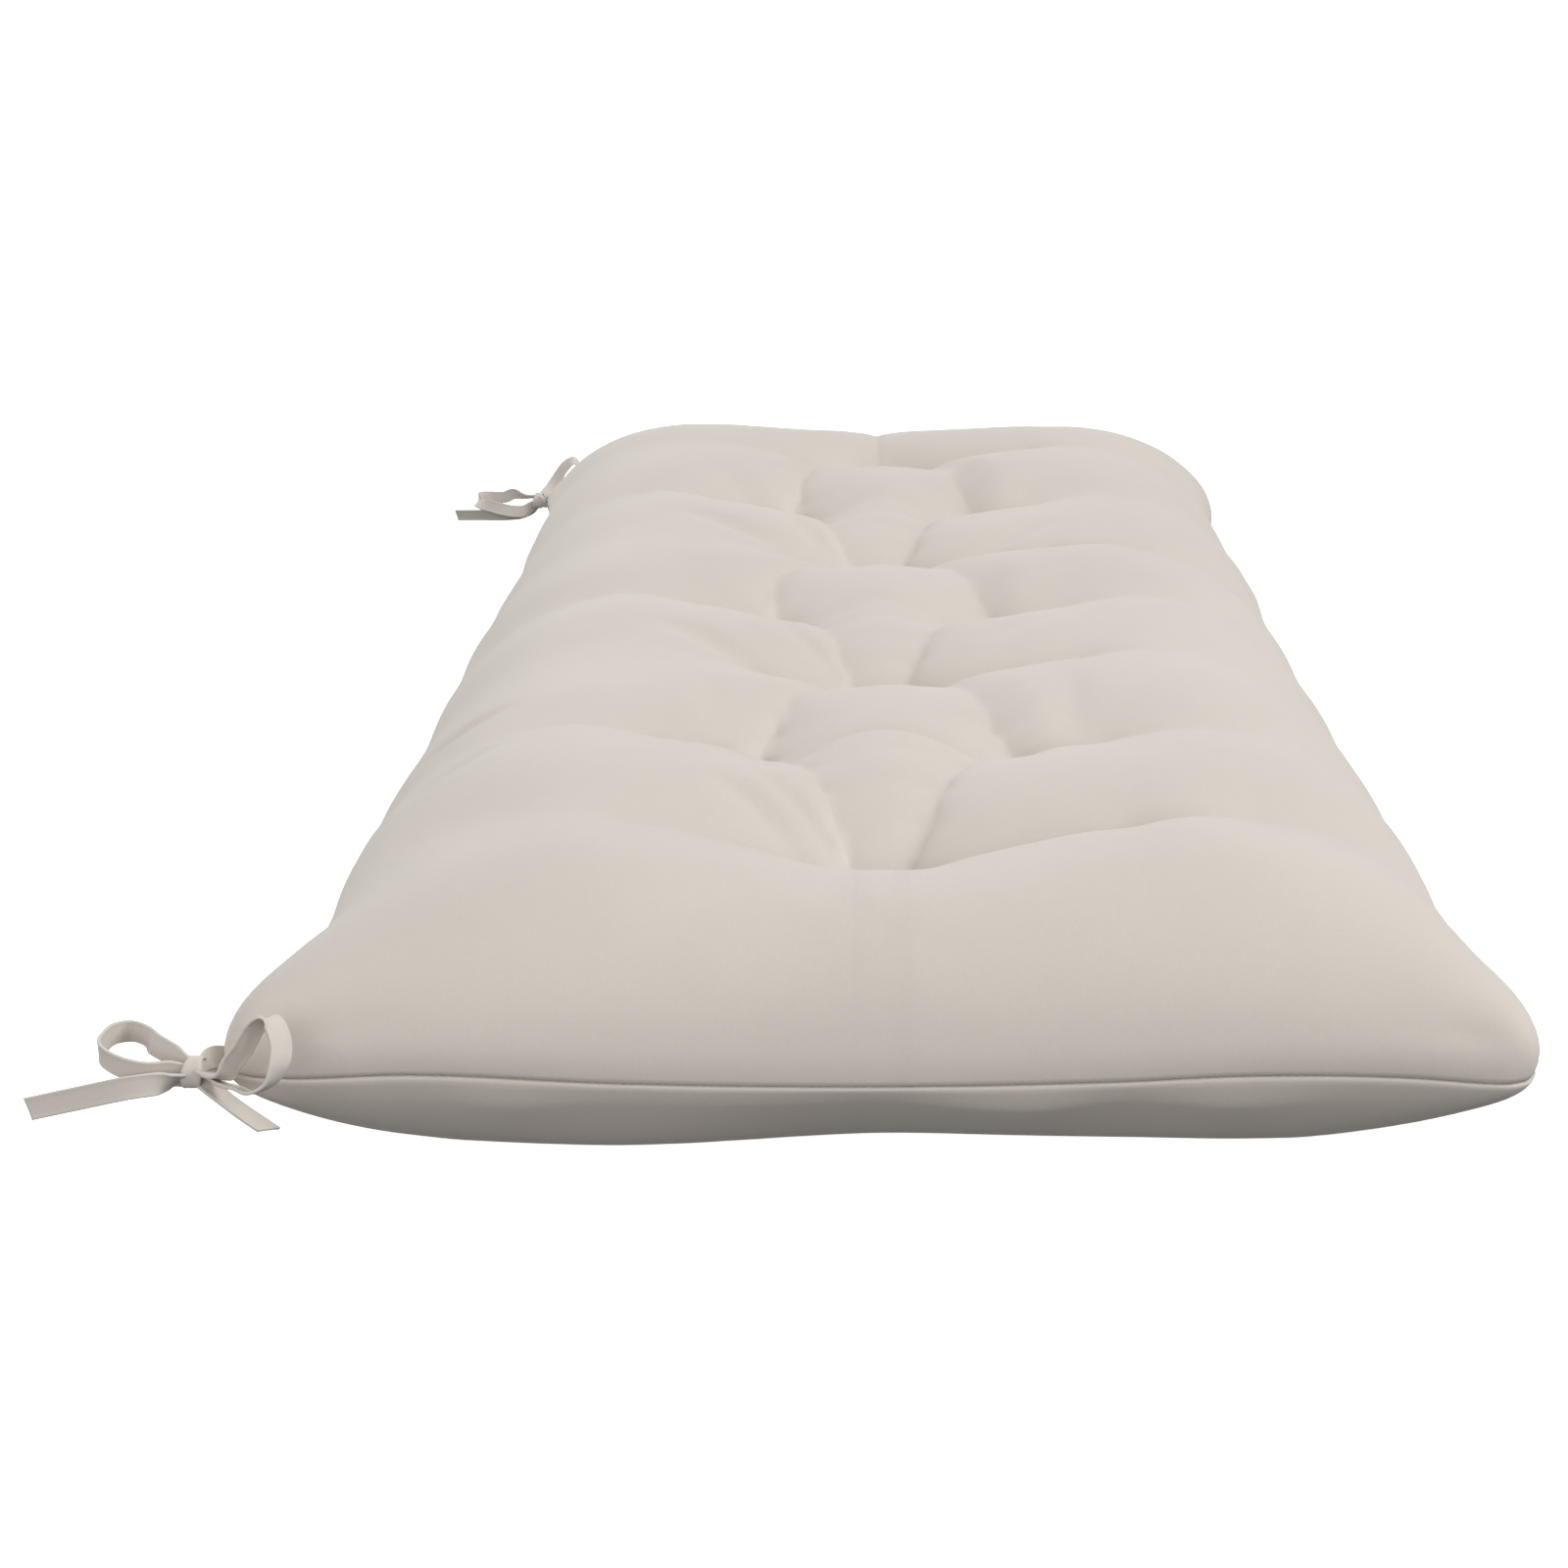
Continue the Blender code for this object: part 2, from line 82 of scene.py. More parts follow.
BASE_NARROW = 0.87          # away from the corners the underside slants to the floor, over this share of its roll
BASE_LIP = (0.0004, 0.04)   # and stands out a little beyond the seam: how far, and the share of its depth at the most
BASE_TURN = 0.10            # and first turns in within this share of its roll, by these uneven shares of its depth
TurnRow = namedtuple("TurnRow", "x share")
TURNS = [
    TurnRow(-0.250, 0.10),
    TurnRow(-0.195, 0.24),
    TurnRow(-0.175, 0.17),
    TurnRow(-0.150, 0.24),
    TurnRow(-0.110, 0.15),
    TurnRow(-0.050, 0.14),
    TurnRow(0.000, 0.10),
    TurnRow(0.058, 0.24),
    TurnRow(0.092, 0.14),
    TurnRow(0.138, 0.26),
    TurnRow(0.185, 0.14),
    TurnRow(0.250, 0.10),
]

EndSeamRow = namedtuple("EndSeamRow", "x height base_roll")
END_SEAM = [
    EndSeamRow(-0.252, 0.0412, 0.028),
    EndSeamRow(-0.225, 0.0395, 0.030),
    EndSeamRow(-0.181, 0.0409, 0.032),
    EndSeamRow(-0.099, 0.0373, 0.027),
    EndSeamRow(0.000, 0.0360, 0.040),
    EndSeamRow(0.089, 0.0380, 0.036),
    EndSeamRow(0.141, 0.0405, 0.034),
    EndSeamRow(0.202, 0.0396, 0.034),
    EndSeamRow(0.234, 0.0372, 0.030),
    EndSeamRow(0.252, 0.0370, 0.028),
]
SideRow = namedtuple("SideRow", "y left right")
SIDES = [
    SideRow(-0.500, -0.2500, 0.2500),
    SideRow(-0.478, -0.2511, 0.2515),
    SideRow(-0.452, -0.2440, 0.2455),
    SideRow(-0.425, -0.2355, 0.2425),
    SideRow(-0.375, -0.2365, 0.2425),
    SideRow(-0.300, -0.2395, 0.2440),
    SideRow(-0.125, -0.2370, 0.2418),
    SideRow(0.000, -0.2388, 0.2406),
    SideRow(0.125, -0.2385, 0.2403),
    SideRow(0.210, -0.2365, 0.2424),
    SideRow(0.300, -0.2380, 0.2385),
    SideRow(0.375, -0.2372, 0.2380),
    SideRow(0.430, -0.2392, 0.2440),
    SideRow(0.470, -0.2440, 0.2490),
    SideRow(0.500, -0.2505, 0.2480),
]
PULL_AT_PLEAT = 0.0016
PLEAT_PULL_HALF = 0.030
CrownRow = namedtuple("CrownRow", "y height")
CROWN = [
    CrownRow(-0.500, 0.106),
    CrownRow(-0.430, 0.107),
    CrownRow(-0.310, 0.104),
    CrownRow(-0.190, 0.101),
    CrownRow(-0.060, 0.100),
    CrownRow(0.060, 0.100),
    CrownRow(0.190, 0.102),
    CrownRow(0.310, 0.108),
    CrownRow(0.430, 0.119),
    CrownRow(0.500, 0.118),
]
# Tufts: rows along the cushion, one tuft or two in turn. depth is how far the top is pulled in at the tuft itself,
# wide and reach the size of the broad hollow round it.
TuftRow = namedtuple("TuftRow", "y left right depth wide reach")
TUFTS = [
    TuftRow(-0.375, -0.010, 0.012, 0.017, 0.018, 0.120),
    TuftRow(-0.250, -0.057, 0.065, 0.013, 0.005, 0.090),
    TuftRow(-0.125, -0.013, 0.014, 0.018, 0.007, 0.105),
    TuftRow(0.000, -0.057, 0.065, 0.014, 0.005, 0.090),
    TuftRow(0.125, -0.013, 0.014, 0.018, 0.007, 0.105),
    TuftRow(0.250, -0.057, 0.065, 0.017, 0.006, 0.090),
    TuftRow(0.375, -0.010, 0.010, 0.023, 0.012, 0.110),
]
# Pleats: from each tuft out to the long side. side is -1 or 1. d0 to d3 say how deep the pleat is at the tuft and at
# three distances from the middle line, s0 to s3 how soft it is there, 0 a sharp crease and 1 a round trough, and bend
# how far its outer end lies along the cushion from the tuft.
PLEAT_X = (0.105, 0.160, 0.235)
PleatRow = namedtuple("PleatRow", "row side d0 d1 d2 d3 s0 s1 s2 s3 bend")
PLEATS = [
    PleatRow(0, -1, 0.017, 0.008, 0.004, 0.001, 0.1, 0.6, 1.0, 1.0, 0.004),
    PleatRow(0, 1, 0.017, 0.014, 0.009, 0.002, 0.0, 0.1, 0.5, 1.0, -0.004),
    PleatRow(1, -1, 0.011, 0.008, 0.005, 0.003, 0.0, 0.2, 0.7, 1.0, 0.003),
    PleatRow(1, 1, 0.013, 0.011, 0.007, 0.002, 0.0, 0.2, 0.6, 1.0, -0.003),
    PleatRow(2, -1, 0.018, 0.004, 0.001, 0.000, 0.2, 0.7, 1.0, 1.0, 0.008),
    PleatRow(2, 1, 0.018, 0.010, 0.004, 0.001, 0.0, 0.1, 0.7, 1.0, 0.002),
    PleatRow(3, -1, 0.013, 0.009, 0.006, 0.003, 0.0, 0.2, 0.7, 1.0, -0.002),
    PleatRow(3, 1, 0.014, 0.010, 0.006, 0.002, 0.0, 0.3, 0.7, 1.0, 0.002),
    PleatRow(4, -1, 0.018, 0.004, 0.001, 0.000, 0.2, 0.8, 1.0, 1.0, 0.004),
    PleatRow(4, 1, 0.018, 0.013, 0.009, 0.005, 0.0, 0.0, 0.2, 0.9, -0.005),
    PleatRow(5, -1, 0.017, 0.009, 0.005, 0.002, 0.0, 0.2, 0.7, 1.0, 0.002),
    PleatRow(5, 1, 0.017, 0.008, 0.004, 0.001, 0.0, 0.4, 0.9, 1.0, 0.001),
    PleatRow(6, -1, 0.023, 0.007, 0.002, 0.001, 0.2, 0.7, 1.0, 1.0, 0.002),
    PleatRow(6, 1, 0.023, 0.013, 0.006, 0.001, 0.0, 0.1, 0.7, 1.0, 0.001),
]
PLEAT_NEAR_HALF = 0.056   # half widths: the bulge in front of a pleat, and the one behind it
PLEAT_FAR_HALF = 0.060
DIAGONAL_IN_HALF = (0.080, 0.044)  # and of the creases between tufts, towards the middle line and away from it
DIAGONAL_OUT_HALF = 0.048
DIAGONAL_IN_POWER = 1.6   # the cloth between them lies flatter than beside them
STEM = (0.085, 1.4)       # and flattest where they open: its half width and power
STEM_END = 2.2            # there the crease's ends are this much shorter than round
RIGHT_SHADE = (0.027, 1.25)          # where they close on the right, the slope outside is long and straight
DIAGONAL_BELLY = (0.50, 0.68)        # the share of their depth that they lose halfway, opening and closing
# Their lines in plan: the share of the way from the narrower pair of tufts out to the wider one, at PATH_AT along them,
# where they open and where they close.
PATH_AT = ((0.0, 0.25, 0.5, 0.75, 0.9, 1.0), (0.0, 0.25, 0.5, 0.80, 0.96, 1.0))
PathRow = namedtuple("PathRow", "left right")
PATHS = [
    PathRow((0, 0.18, 0.32, 0.53, 0.74, 1), (0, 0.22, 0.34, 0.55, 0.76, 1)),
    PathRow((1, 0.86, 0.75, 0.50, 0.28, 0), (1, 0.81, 0.73, 0.55, 0.34, 0)),
    PathRow((0, 0.14, 0.26, 0.44, 0.62, 1), (0, 0.17, 0.29, 0.43, 0.58, 1)),
    PathRow((1, 1.08, 1.08, 0.52, 0.16, 0), (1, 0.88, 0.76, 0.48, 0.24, 0)),
    PathRow((0, 0.22, 0.38, 0.54, 0.68, 1), (0, 0.20, 0.33, 0.47, 0.62, 1)),
    PathRow((1, 0.92, 0.88, 0.68, 0.42, 0), (1, 0.90, 0.79, 0.66, 0.42, 0)),
]
END_VALLEY = (0.002, 0.000, 0.085)   # a soft valley from the first tuft down the near end: depth at both ends, half width
FAR_CREASE = (0.009, 0.003, 0.035)   # a crease from the last tuft down the far end
SIDE_LIFT = (0.0015, -0.0015)        # the near end is this much fuller on the right, and the far end on the left
BASE_DEPTH_SHARE = 0.24
BASE_WIDTH_SHARE = 0.50

# Small folds of the top cloth: soft troughs through three places, deepest at the middle one. half is their half width
# and steep the share of it on the side towards the middle line.
FoldRow = namedtuple("FoldRow", "x0 y0 x1 y1 x2 y2 depth half steep")
STEP_ROWS = (7, 8, 14)   # these come to a sharp line at the foot
FOLDS = [
    FoldRow(-0.076, -0.318, -0.050, -0.345, -0.024, -0.388, 0.0042, 0.012, 0.4),
    FoldRow(-0.058, -0.300, -0.036, -0.335, -0.014, -0.378, 0.0034, 0.009, 0.4),
    FoldRow(-0.120, -0.070, -0.088, -0.098, -0.045, -0.140, 0.0038, 0.014, 0.4),
    FoldRow(-0.060, -0.045, -0.038, -0.080, -0.020, -0.118, 0.0034, 0.010, 0.4),
    FoldRow(-0.066, 0.205, -0.044, 0.168, -0.022, 0.132, 0.0038, 0.012, 0.4),
    FoldRow(-0.125, 0.186, -0.092, 0.160, -0.052, 0.134, 0.0036, 0.014, 0.4),
    FoldRow(-0.064, 0.008, -0.064, 0.036, -0.050, 0.058, 0.0020, 0.008, 0.4),
    FoldRow(0.098, -0.140, 0.096, -0.200, 0.094, -0.246, 0.0048, 0.050, 0.84),
    FoldRow(-0.084, -0.165, -0.080, -0.210, -0.068, -0.248, 0.0040, 0.040, 0.80),
    FoldRow(-0.214, -0.304, -0.198, -0.282, -0.178, -0.262, 0.0034, 0.010, 0.4),
    FoldRow(-0.228, -0.215, -0.205, -0.205, -0.175, -0.204, 0.0030, 0.010, 0.5),
    FoldRow(0.060, 0.120, 0.090, 0.150, 0.120, 0.166, 0.0030, 0.012, 0.5),
    FoldRow(0.052, -0.100, 0.080, -0.066, 0.110, -0.046, 0.0032, 0.013, 0.5),
    FoldRow(0.050, 0.290, 0.060, 0.325, 0.052, 0.355, 0.0032, 0.012, 0.5),
    FoldRow(-0.046, -0.262, 0.002, -0.240, 0.052, -0.262, 0.0030, 0.0045, 0.5),
]
# A crease straight across between the tufts of the second row: depth at three places.
CROSS_CREASE = ((-0.038, -0.256, 0.006), (0.004, -0.252, 0.0034), (0.044, -0.256, 0.005))
CROSS_HALF = (0.024, 0.024, 0.030)

# How far the cloth leans over into a crease, as a share of the crease's depth.
LEAN = 0.06


# ================================================================ helpers
def smooth_table(at, places, values):
    at = np.asarray(at, float)
    p = np.asarray(places, float)
    v = np.asarray(values, float)
    slope = np.gradient(v, p)
    i = np.clip(np.searchsorted(p, at) - 1, 0, len(p) - 2)
    h = p[i + 1] - p[i]
    t = np.clip((at - p[i]) / h, 0.0, 1.0)
    return (
        (2 * t**3 - 3 * t**2 + 1) * v[i]
        + (t**3 - 2 * t**2 + t) * h * slope[i]
        + (3 * t**2 - 2 * t**3) * v[i + 1]
        + (t**3 - t**2) * h * slope[i + 1]
    )


def quarter(s):
    return np.sqrt(1 - (1 - np.clip(s, 0.0, 1.0)) ** 2)


def soft_step(s):
    s = np.clip(s, 0.0, 1.0)
    return s * s * (3 - 2 * s)


def rounded_edge(from_side, from_end, y, side_roll, end_roll, full):
    a = quarter(from_side / side_roll)
    b = quarter(from_end / end_roll)
    thin = a * b
    thick = thin / np.cbrt(np.maximum(a**3 + b**3 - thin**3, 1e-12))
    share = np.where(y < 0, full[0], full[1])
    return thin + (thick - thin) * share


def side_lines(y):
    left = smooth_table(y, [r.y for r in SIDES], [r.left for r in SIDES])
    right = smooth_table(y, [r.y for r in SIDES], [r.right for r in SIDES])
    pull = sum(np.exp(-(((y - row.y) / PLEAT_PULL_HALF) ** 2)) for row in TUFTS) * PULL_AT_PLEAT
    return left + pull, right - pull


def diagonal(a, b, side):
    """The crease from a tuft of row a to one of row b on the left (0) or right (1): its points, the tufts included."""
    xa, xb = (a.left, a.right)[side], (b.left, b.right)[side]
    narrow, broad = (xa, xb) if abs(xa) < abs(xb) else (xb, xa)
    shares = PATHS[TUFTS.index(a)][side]
    return [(narrow + (broad - narrow) * f, a.y + (b.y - a.y) * t) for f, t in zip(shares, PATH_AT[shares[0] > 0])]


def chain(y, side):
    """The x of the left (0) or right (1) chain of creases at each y."""
    points = [((TUFTS[0].left, TUFTS[0].right)[side], -HALF_LENGTH - 0.01)]
    for a, b in zip(TUFTS[:-1], TUFTS[1:]):
        points += diagonal(a, b, side)[:-1]
    points += [((TUFTS[-1].left, TUFTS[-1].right)[side], TUFTS[-1].y)]
    points += [((TUFTS[-1].left, TUFTS[-1].right)[side], HALF_LENGTH + 0.01)]
    return np.interp(y, [p[1] for p in points], [p[0] for p in points])


def crease_list():
    """Every straight crease: start, end, depths, softness, half widths towards its two sides, which way the first side
    looks, and the powers of the two slopes where they aren't quarter rounds."""
    out = []
    for p in PLEATS:
        row = TUFTS[p.row]
        xs = [row.left if p.side < 0 else row.right] + [p.side * x for x in PLEAT_X]
        ys = [row.y + p.bend * f for f in (0.0, 0.25, 0.6, 1.0)]
        deep, soft = (p.d0, p.d1, p.d2, p.d3), (p.s0, p.s1, p.s2, p.s3)
        for k in range(3):
            out.append((
                (xs[k], ys[k]), (xs[k + 1], ys[k + 1]), deep[k : k + 2], soft[k : k + 2],
                (PLEAT_NEAR_HALF, PLEAT_NEAR_HALF, PLEAT_FAR_HALF), (0, -1), (0, 0),
            ))
    for row in TUFTS:
        if abs(row.left) < 0.03:
            out.append((
                (row.left, row.y), (row.right, row.y), (row.depth, row.depth), (0, 0),
                (PLEAT_NEAR_HALF, PLEAT_NEAR_HALF, PLEAT_FAR_HALF), (0, -1), (0, 0),
            ))
    for a, b in zip(TUFTS[:-1], TUFTS[1:]):
        for side in (0, 1):
            points = diagonal(a, b, side)
            shaded = side == 1 and abs(b.right) < abs(a.right)
            closing = abs(b.right) < abs(a.right)
            outer = RIGHT_SHADE[0] if shaded else DIAGONAL_OUT_HALF
            power = (DIAGONAL_IN_POWER if closing else STEM[1], RIGHT_SHADE[1] if shaded else 0)
            for k in range(len(points) - 1):
                deep = []
                for t in PATH_AT[closing][k : k + 2]:
                    belly = 2.16 * t * (1 - t) ** 0.35 if closing else 4 * t * (1 - t)
                    deep.append((a.depth + (b.depth - a.depth) * t) * (1 - DIAGONAL_BELLY[closing] * belly))
                wide, narrow = DIAGONAL_IN_HALF
                inner = [wide + (narrow - wide) * t for t in PATH_AT[closing][k : k + 2]] if closing else [STEM[0]] * 2
                out.append((points[k], points[k + 1], deep, (0, 0), (*inner, outer), (1 - 2 * side, 0), power))
    left, right = (TUFTS[1].left, TUFTS[1].y, TUFTS[1].depth), (TUFTS[1].right, TUFTS[1].y, TUFTS[1].depth)
    across = [left, *CROSS_CREASE, right]
    for a, b in zip(across[:-1], across[1:]):
        out.append((a[:2], b[:2], (a[2], b[2]), (0, 0), CROSS_HALF, (0, -1), (0, 0)))
    out.append((
        (0.0, TUFTS[0].y), (0.0, -HALF_LENGTH), END_VALLEY[:2], (1, 1), (END_VALLEY[2],) * 3, (1, 0), (0, 0),
    ))
    out.append((
        (0.0, TUFTS[-1].y), (0.0, HALF_LENGTH), FAR_CREASE[:2], (0, 0.3), (FAR_CREASE[2],) * 3, (1, 0), (0, 0),
    ))
    return out


def creases(x, y, depth_share, width_share):
    """The drop of the cloth from all creases together, and how far it leans into them, along x and y."""
    total = np.zeros_like(x)
    lean_x = np.zeros_like(x)
    lean_y = np.zeros_like(x)
    for (ax, ay), (bx, by), depth, soft, half, looks, power in crease_list():
        span = (bx - ax) ** 2 + (by - ay) ** 2
        place = ((x - ax) * (bx - ax) + (y - ay) * (by - ay)) / span
        t = np.clip(place, 0.0, 1.0)
        dx = x - ax - t * (bx - ax)
        dy = y - ay - t * (by - ay)
        past = (place - t) ** 2 * span * (STEM_END**2 - 1 if half[0] == STEM[0] else 0)
        away = np.sqrt(dx**2 + dy**2 + past)
        if not (away < max(half)).any():
            continue
        deep = (depth[0] + (depth[1] - depth[0]) * t) * depth_share
        k = soft[0] + (soft[1] - soft[0]) * t
        facing = (dx * looks[0] + dy * looks[1]) / np.maximum(away, 1e-9)
        first = half[0] + (half[1] - half[0]) * t
        wide = (half[2] + (first - half[2]) * (0.5 + 0.5 * facing)) * width_share
        r = np.clip(away / wide, 0.0, 1.0)
        shape = (1 - k) * (1 - quarter(r)) + k * (0.5 + 0.5 * np.cos(math.pi * r))
        for p, share in ((power[0], 0.5 + 0.5 * facing), (power[1], 0.5 - 0.5 * facing)):
            if p:
                shape = shape + ((1 - r) ** p - shape) * share
        weight = (deep * shape) ** 3
        total += weight
        pull = LEAN * deep * (1 - k) * (r / 0.22) * np.exp(1 - r / 0.22) * (1 - r)
        scale = weight * pull / np.maximum(away, 1e-6)
        lean_x -= scale * dx
        lean_y -= scale * dy
    safe = np.maximum(total, 1e-18)
    return np.cbrt(total), lean_x / safe, lean_y / safe


def folds(x, y):
    """The drop of the cloth in its small folds."""
    total = np.zeros_like(x)
    for f in FOLDS:
        best = np.full_like(x, 9.0)
        place = np.zeros_like(x)
        facing = np.zeros_like(x)
        steps = 12
        line = []
        for k in range(steps + 1):
            t = k / steps
            a, b, c = 2 * (t - 0.5) * (t - 1), 4 * t * (1 - t), 2 * t * (t - 0.5)
            line.append((a * f.x0 + b * f.x1 + c * f.x2, a * f.y0 + b * f.y1 + c * f.y2))
        for k in range(steps):
            (ax, ay), (bx, by) = line[k], line[k + 1]
            t = np.clip(((x - ax) * (bx - ax) + (y - ay) * (by - ay)) / ((bx - ax) ** 2 + (by - ay) ** 2), 0, 1)
            dx, dy = x - ax - t * (bx - ax), y - ay - t * (by - ay)
            away = np.hypot(dx, dy)
            nearer = away < best
            best = np.where(nearer, away, best)
            place = np.where(nearer, (k + t) / steps, place)
            facing = np.where(nearer, -dx * np.sign(ax), facing)
        wide = np.where(facing > 0, f.half * 2 * f.steep, f.half * 2 * (1 - f.steep))
        if FOLDS.index(f) in STEP_ROWS:
            profile = np.exp(-best / (0.6 * wide))
        else:
            profile = np.exp(-((best / (0.6 * wide)) ** 2))
        total += f.depth * np.sin(math.pi * np.clip(place, 0, 1)) * profile
    return total


def hollows(x, y):
    """The broad hollows round the tufts."""
    deepest = np.zeros_like(x)
    for row in TUFTS:
        along = (y - row.y) / row.reach
        across = np.minimum(np.abs(x - row.left), np.abs(x - row.right))
        across = np.where((x > row.left) & (x < row.right) & (row.right - row.left < 0.03), 0.0, across)
        r = np.clip(np.hypot(along, across / row.reach), 0.0, 1.0)
        deepest += (row.wide * (1 - r) ** 1.35) ** 2
    return np.sqrt(deepest)


# ================================================================ the cushion's grid
def spaced_between(a, b, first, growth, most, dense_a=True, dense_b=True):
    """Places from a to b, close together at the dense ends and at most `most` apart."""
    def run(limit):
        out, step, at = [], first, 0.0
        while at + step < limit:
            at += step
            out.append(at)
            step = min(step * growth, most)
        return out
    width = b - a
    half = width / 2
    left = run(half) if dense_a else list(np.arange(most, half, most))
    right = run(half) if dense_b else list(np.arange(most, half, most))
    return [a] + [a + s for s in left] + [b - s for s in right[::-1]]


def grid_lines():
    """Row places, and the columns as shares of three zones: left side to chain, chain to chain, chain to right side."""
    ends = []
    n = 34
    for k in range(n):
        ends.append(TOP_ROLL_END * (1 - math.cos(math.pi / 2 * k / n)) * 0.62)
    near = [-HALF_LENGTH + e for e in ends]
    far = [HALF_LENGTH - e for e in ends][::-1]
    rows = near[:]
    rows += spaced_between(near[-1], TUFTS[0].y, 0.0008, 1.28, 0.0042, dense_a=False)[1:]
    for a, b in zip(TUFTS[:-1], TUFTS[1:]):
        rows += spaced_between(a.y, b.y, 0.0008, 1.28, 0.0028 if TUFTS[1] in (a, b) else 0.0050)
    rows += spaced_between(TUFTS[-1].y, far[0], 0.0008, 1.28, 0.0042, dense_b=False)
    rows += far
    rows = np.array(rows)

    m = 22
    roll = [0.060 * (1 - math.cos(math.pi / 2 * k / m)) for k in range(m)]
    outer = roll + spaced_between(roll[-1], 0.200, 0.0009, 1.25, 0.0046, dense_a=False)[1:]
    outer = np.array(outer) / 0.200
    middle = np.array(spaced_between(0.0, 0.080, 0.0009, 1.25, 0.0040)[1:]) / 0.080
    return rows, outer, middle


def cushion_grid():
    rows, outer, middle = grid_lines()
    y = rows[:, None]
    left, right = side_lines(y)
    left_chain, right_chain = chain(y, 0), chain(y, 1)
    a = left + (left_chain - left) * outer[None, :]
    b = left_chain + (right_chain - left_chain) * np.concatenate([[0.0], middle, [1.0]])[None, :]
    c = right + (right_chain - right) * outer[::-1][None, :]
    x = np.concatenate([a, b, c], axis=1)
    return x, np.broadcast_to(y, x.shape).copy()


def cushion_points(x, y, creased=True):
    """The top and the underside over plan places x, y, with or without the creases of the top."""
    left, right = side_lines(y)
    from_side = np.minimum(x - left, right - x)
    from_end = np.minimum(y + HALF_LENGTH, HALF_LENGTH - y)
    crown = smooth_table(y, [r.y for r in CROWN], [r.height for r in CROWN])
    end_seam = smooth_table(x, [r.x for r in END_SEAM], [r.height for r in END_SEAM])
    base_roll = smooth_table(x, [r.x for r in END_SEAM], [r.base_roll for r in END_SEAM])
    seam = SEAM_HEIGHT + (end_seam - SEAM_HEIGHT) * soft_step(1 - from_end / SEAM_BLEND)
    top_edge = rounded_edge(from_side, from_end, y, TOP_ROLL_SIDE, TOP_ROLL_END, CORNER_FULL)
    slanted = soft_step((0.215 - np.abs(x)) / 0.09)
    base_roll = base_roll * (1 - (1 - BASE_NARROW) * slanted)
    base_edge = rounded_edge(from_side, from_end, y, BASE_ROLL_SIDE, base_roll, BASE_CORNER_FULL)
    if creased:
        drop, lean_x, lean_y = creases(x, y, 1.0, 1.0)
        drop = drop + hollows(x, y)
    else:
        drop, lean_x, lean_y = 0 * x, 0 * x, 0 * x
    tilt = SIDE_LIFT[0] + (SIDE_LIFT[1] - SIDE_LIFT[0]) * (y / HALF_LENGTH + 1) / 2
    crown = crown + tilt * np.clip(x / 0.12, -1, 1)
    top = seam + (crown - seam - drop) * top_edge
    rise, _, _ = creases(x, y, BASE_DEPTH_SHARE, BASE_WIDTH_SHARE)
    way = 1 - np.sqrt(np.maximum(1 - base_edge**2, 0))
    turn = smooth_table(x, [r.x for r in TURNS], [r.share for r in TURNS])
    steep = turn * quarter(way / BASE_TURN) + (1 - turn) * (1 - (1 - way) ** 1.5)
    full = 0.65 * base_edge + 0.35 * base_edge**2.5
    sunk = full + (steep - full) * slanted
    base = seam - (seam - rise) * sunk

    p = np.clip(1 - from_side / CORNER_ZONE, 0, 1)
    q = np.clip(1 - from_end / CORNER_ZONE, 0, 1)
    px = x - np.sign(x) * (p - p * np.sqrt(1 - CORNER_ROUND * q * q / 2)) * CORNER_ZONE
    py = y - np.sign(y) * (q - q * np.sqrt(1 - CORNER_ROUND * p * p / 2)) * CORNER_ZONE
    # The filled cloth swells out over the seam, most at the near end and its right corner.
    swell = 9.48 * top_edge * (1 - top_edge) ** 3
    near_end = soft_step((-y - 0.36) / 0.10)
    end_way, side_way = 1 - quarter(from_end / TOP_ROLL_END), 1 - quarter(from_side / TOP_ROLL_SIDE)
    level = np.maximum(np.hypot(end_way, side_way), 1e-6)
    swell_near = smooth_table(x, [r.x for r in SWELL], [r.near for r in SWELL])
    swell_far = smooth_table(x, [r.x for r in SWELL], [r.far for r in SWELL])
    swell_end = np.where(y < 0, swell_near, swell_far)
    swell_side = np.where(x > 0, SWELL_CORNER[1], SWELL_CORNER[0]) * near_end
    swell_x = np.sign(x) * swell * swell_side * side_way / level
    swell_y = np.sign(y) * swell * swell_end * end_way / level
    held = soft_step(np.minimum(from_side, from_end) / 0.05)
    upper = np.stack([px + swell_x + lean_x * held, py + swell_y + lean_y * held, top], axis=-1)
    lip = BASE_LIP[0] * (sunk / BASE_LIP[1]) * np.exp(1 - sunk / BASE_LIP[1])
    lower = np.stack([
        px + np.sign(x) * lip * side_way / level, py + np.sign(y) * lip * end_way / level, base], axis=-1)
    return upper, lower


# ================================================================ the top cloth, blown up by its filling
CELL = 0.0060
SETTLE_FRAMES = 18
PRESSURE = 4.0
CLOTH_MASS = 0.03
KEEP_SHARP = 0.20
SMOOTHINGS = 2


def settle_lines():
    """An even net over the top cloth: the share of the half width in from each side, and the place along."""
    n = int(round(0.137 / CELL))
    side = [TOP_ROLL_SIDE * (1 - math.cos(math.pi / 2 * k / n)) for k in range(n + 1)]
    side += list(np.arange(side[-1] + CELL, 0.2400 - CELL / 2, CELL))
    share = np.array(side) / 0.2400
    n = int(round(0.142 / CELL))
    end = [TOP_ROLL_END * (1 - math.cos(math.pi / 2 * k / n)) for k in range(n + 1)]
    inner = HALF_LENGTH - end[-1]
    m = int(round(2 * inner / CELL))
    rows = [-HALF_LENGTH + e for e in end] + list(np.linspace(-inner, inner, m + 1)[1:-1]) + [HALF_LENGTH - e for e in end[::-1]]
    across = np.concatenate([share - 1, [0.0], 1 - share[::-1]])
    return across, np.array(rows)


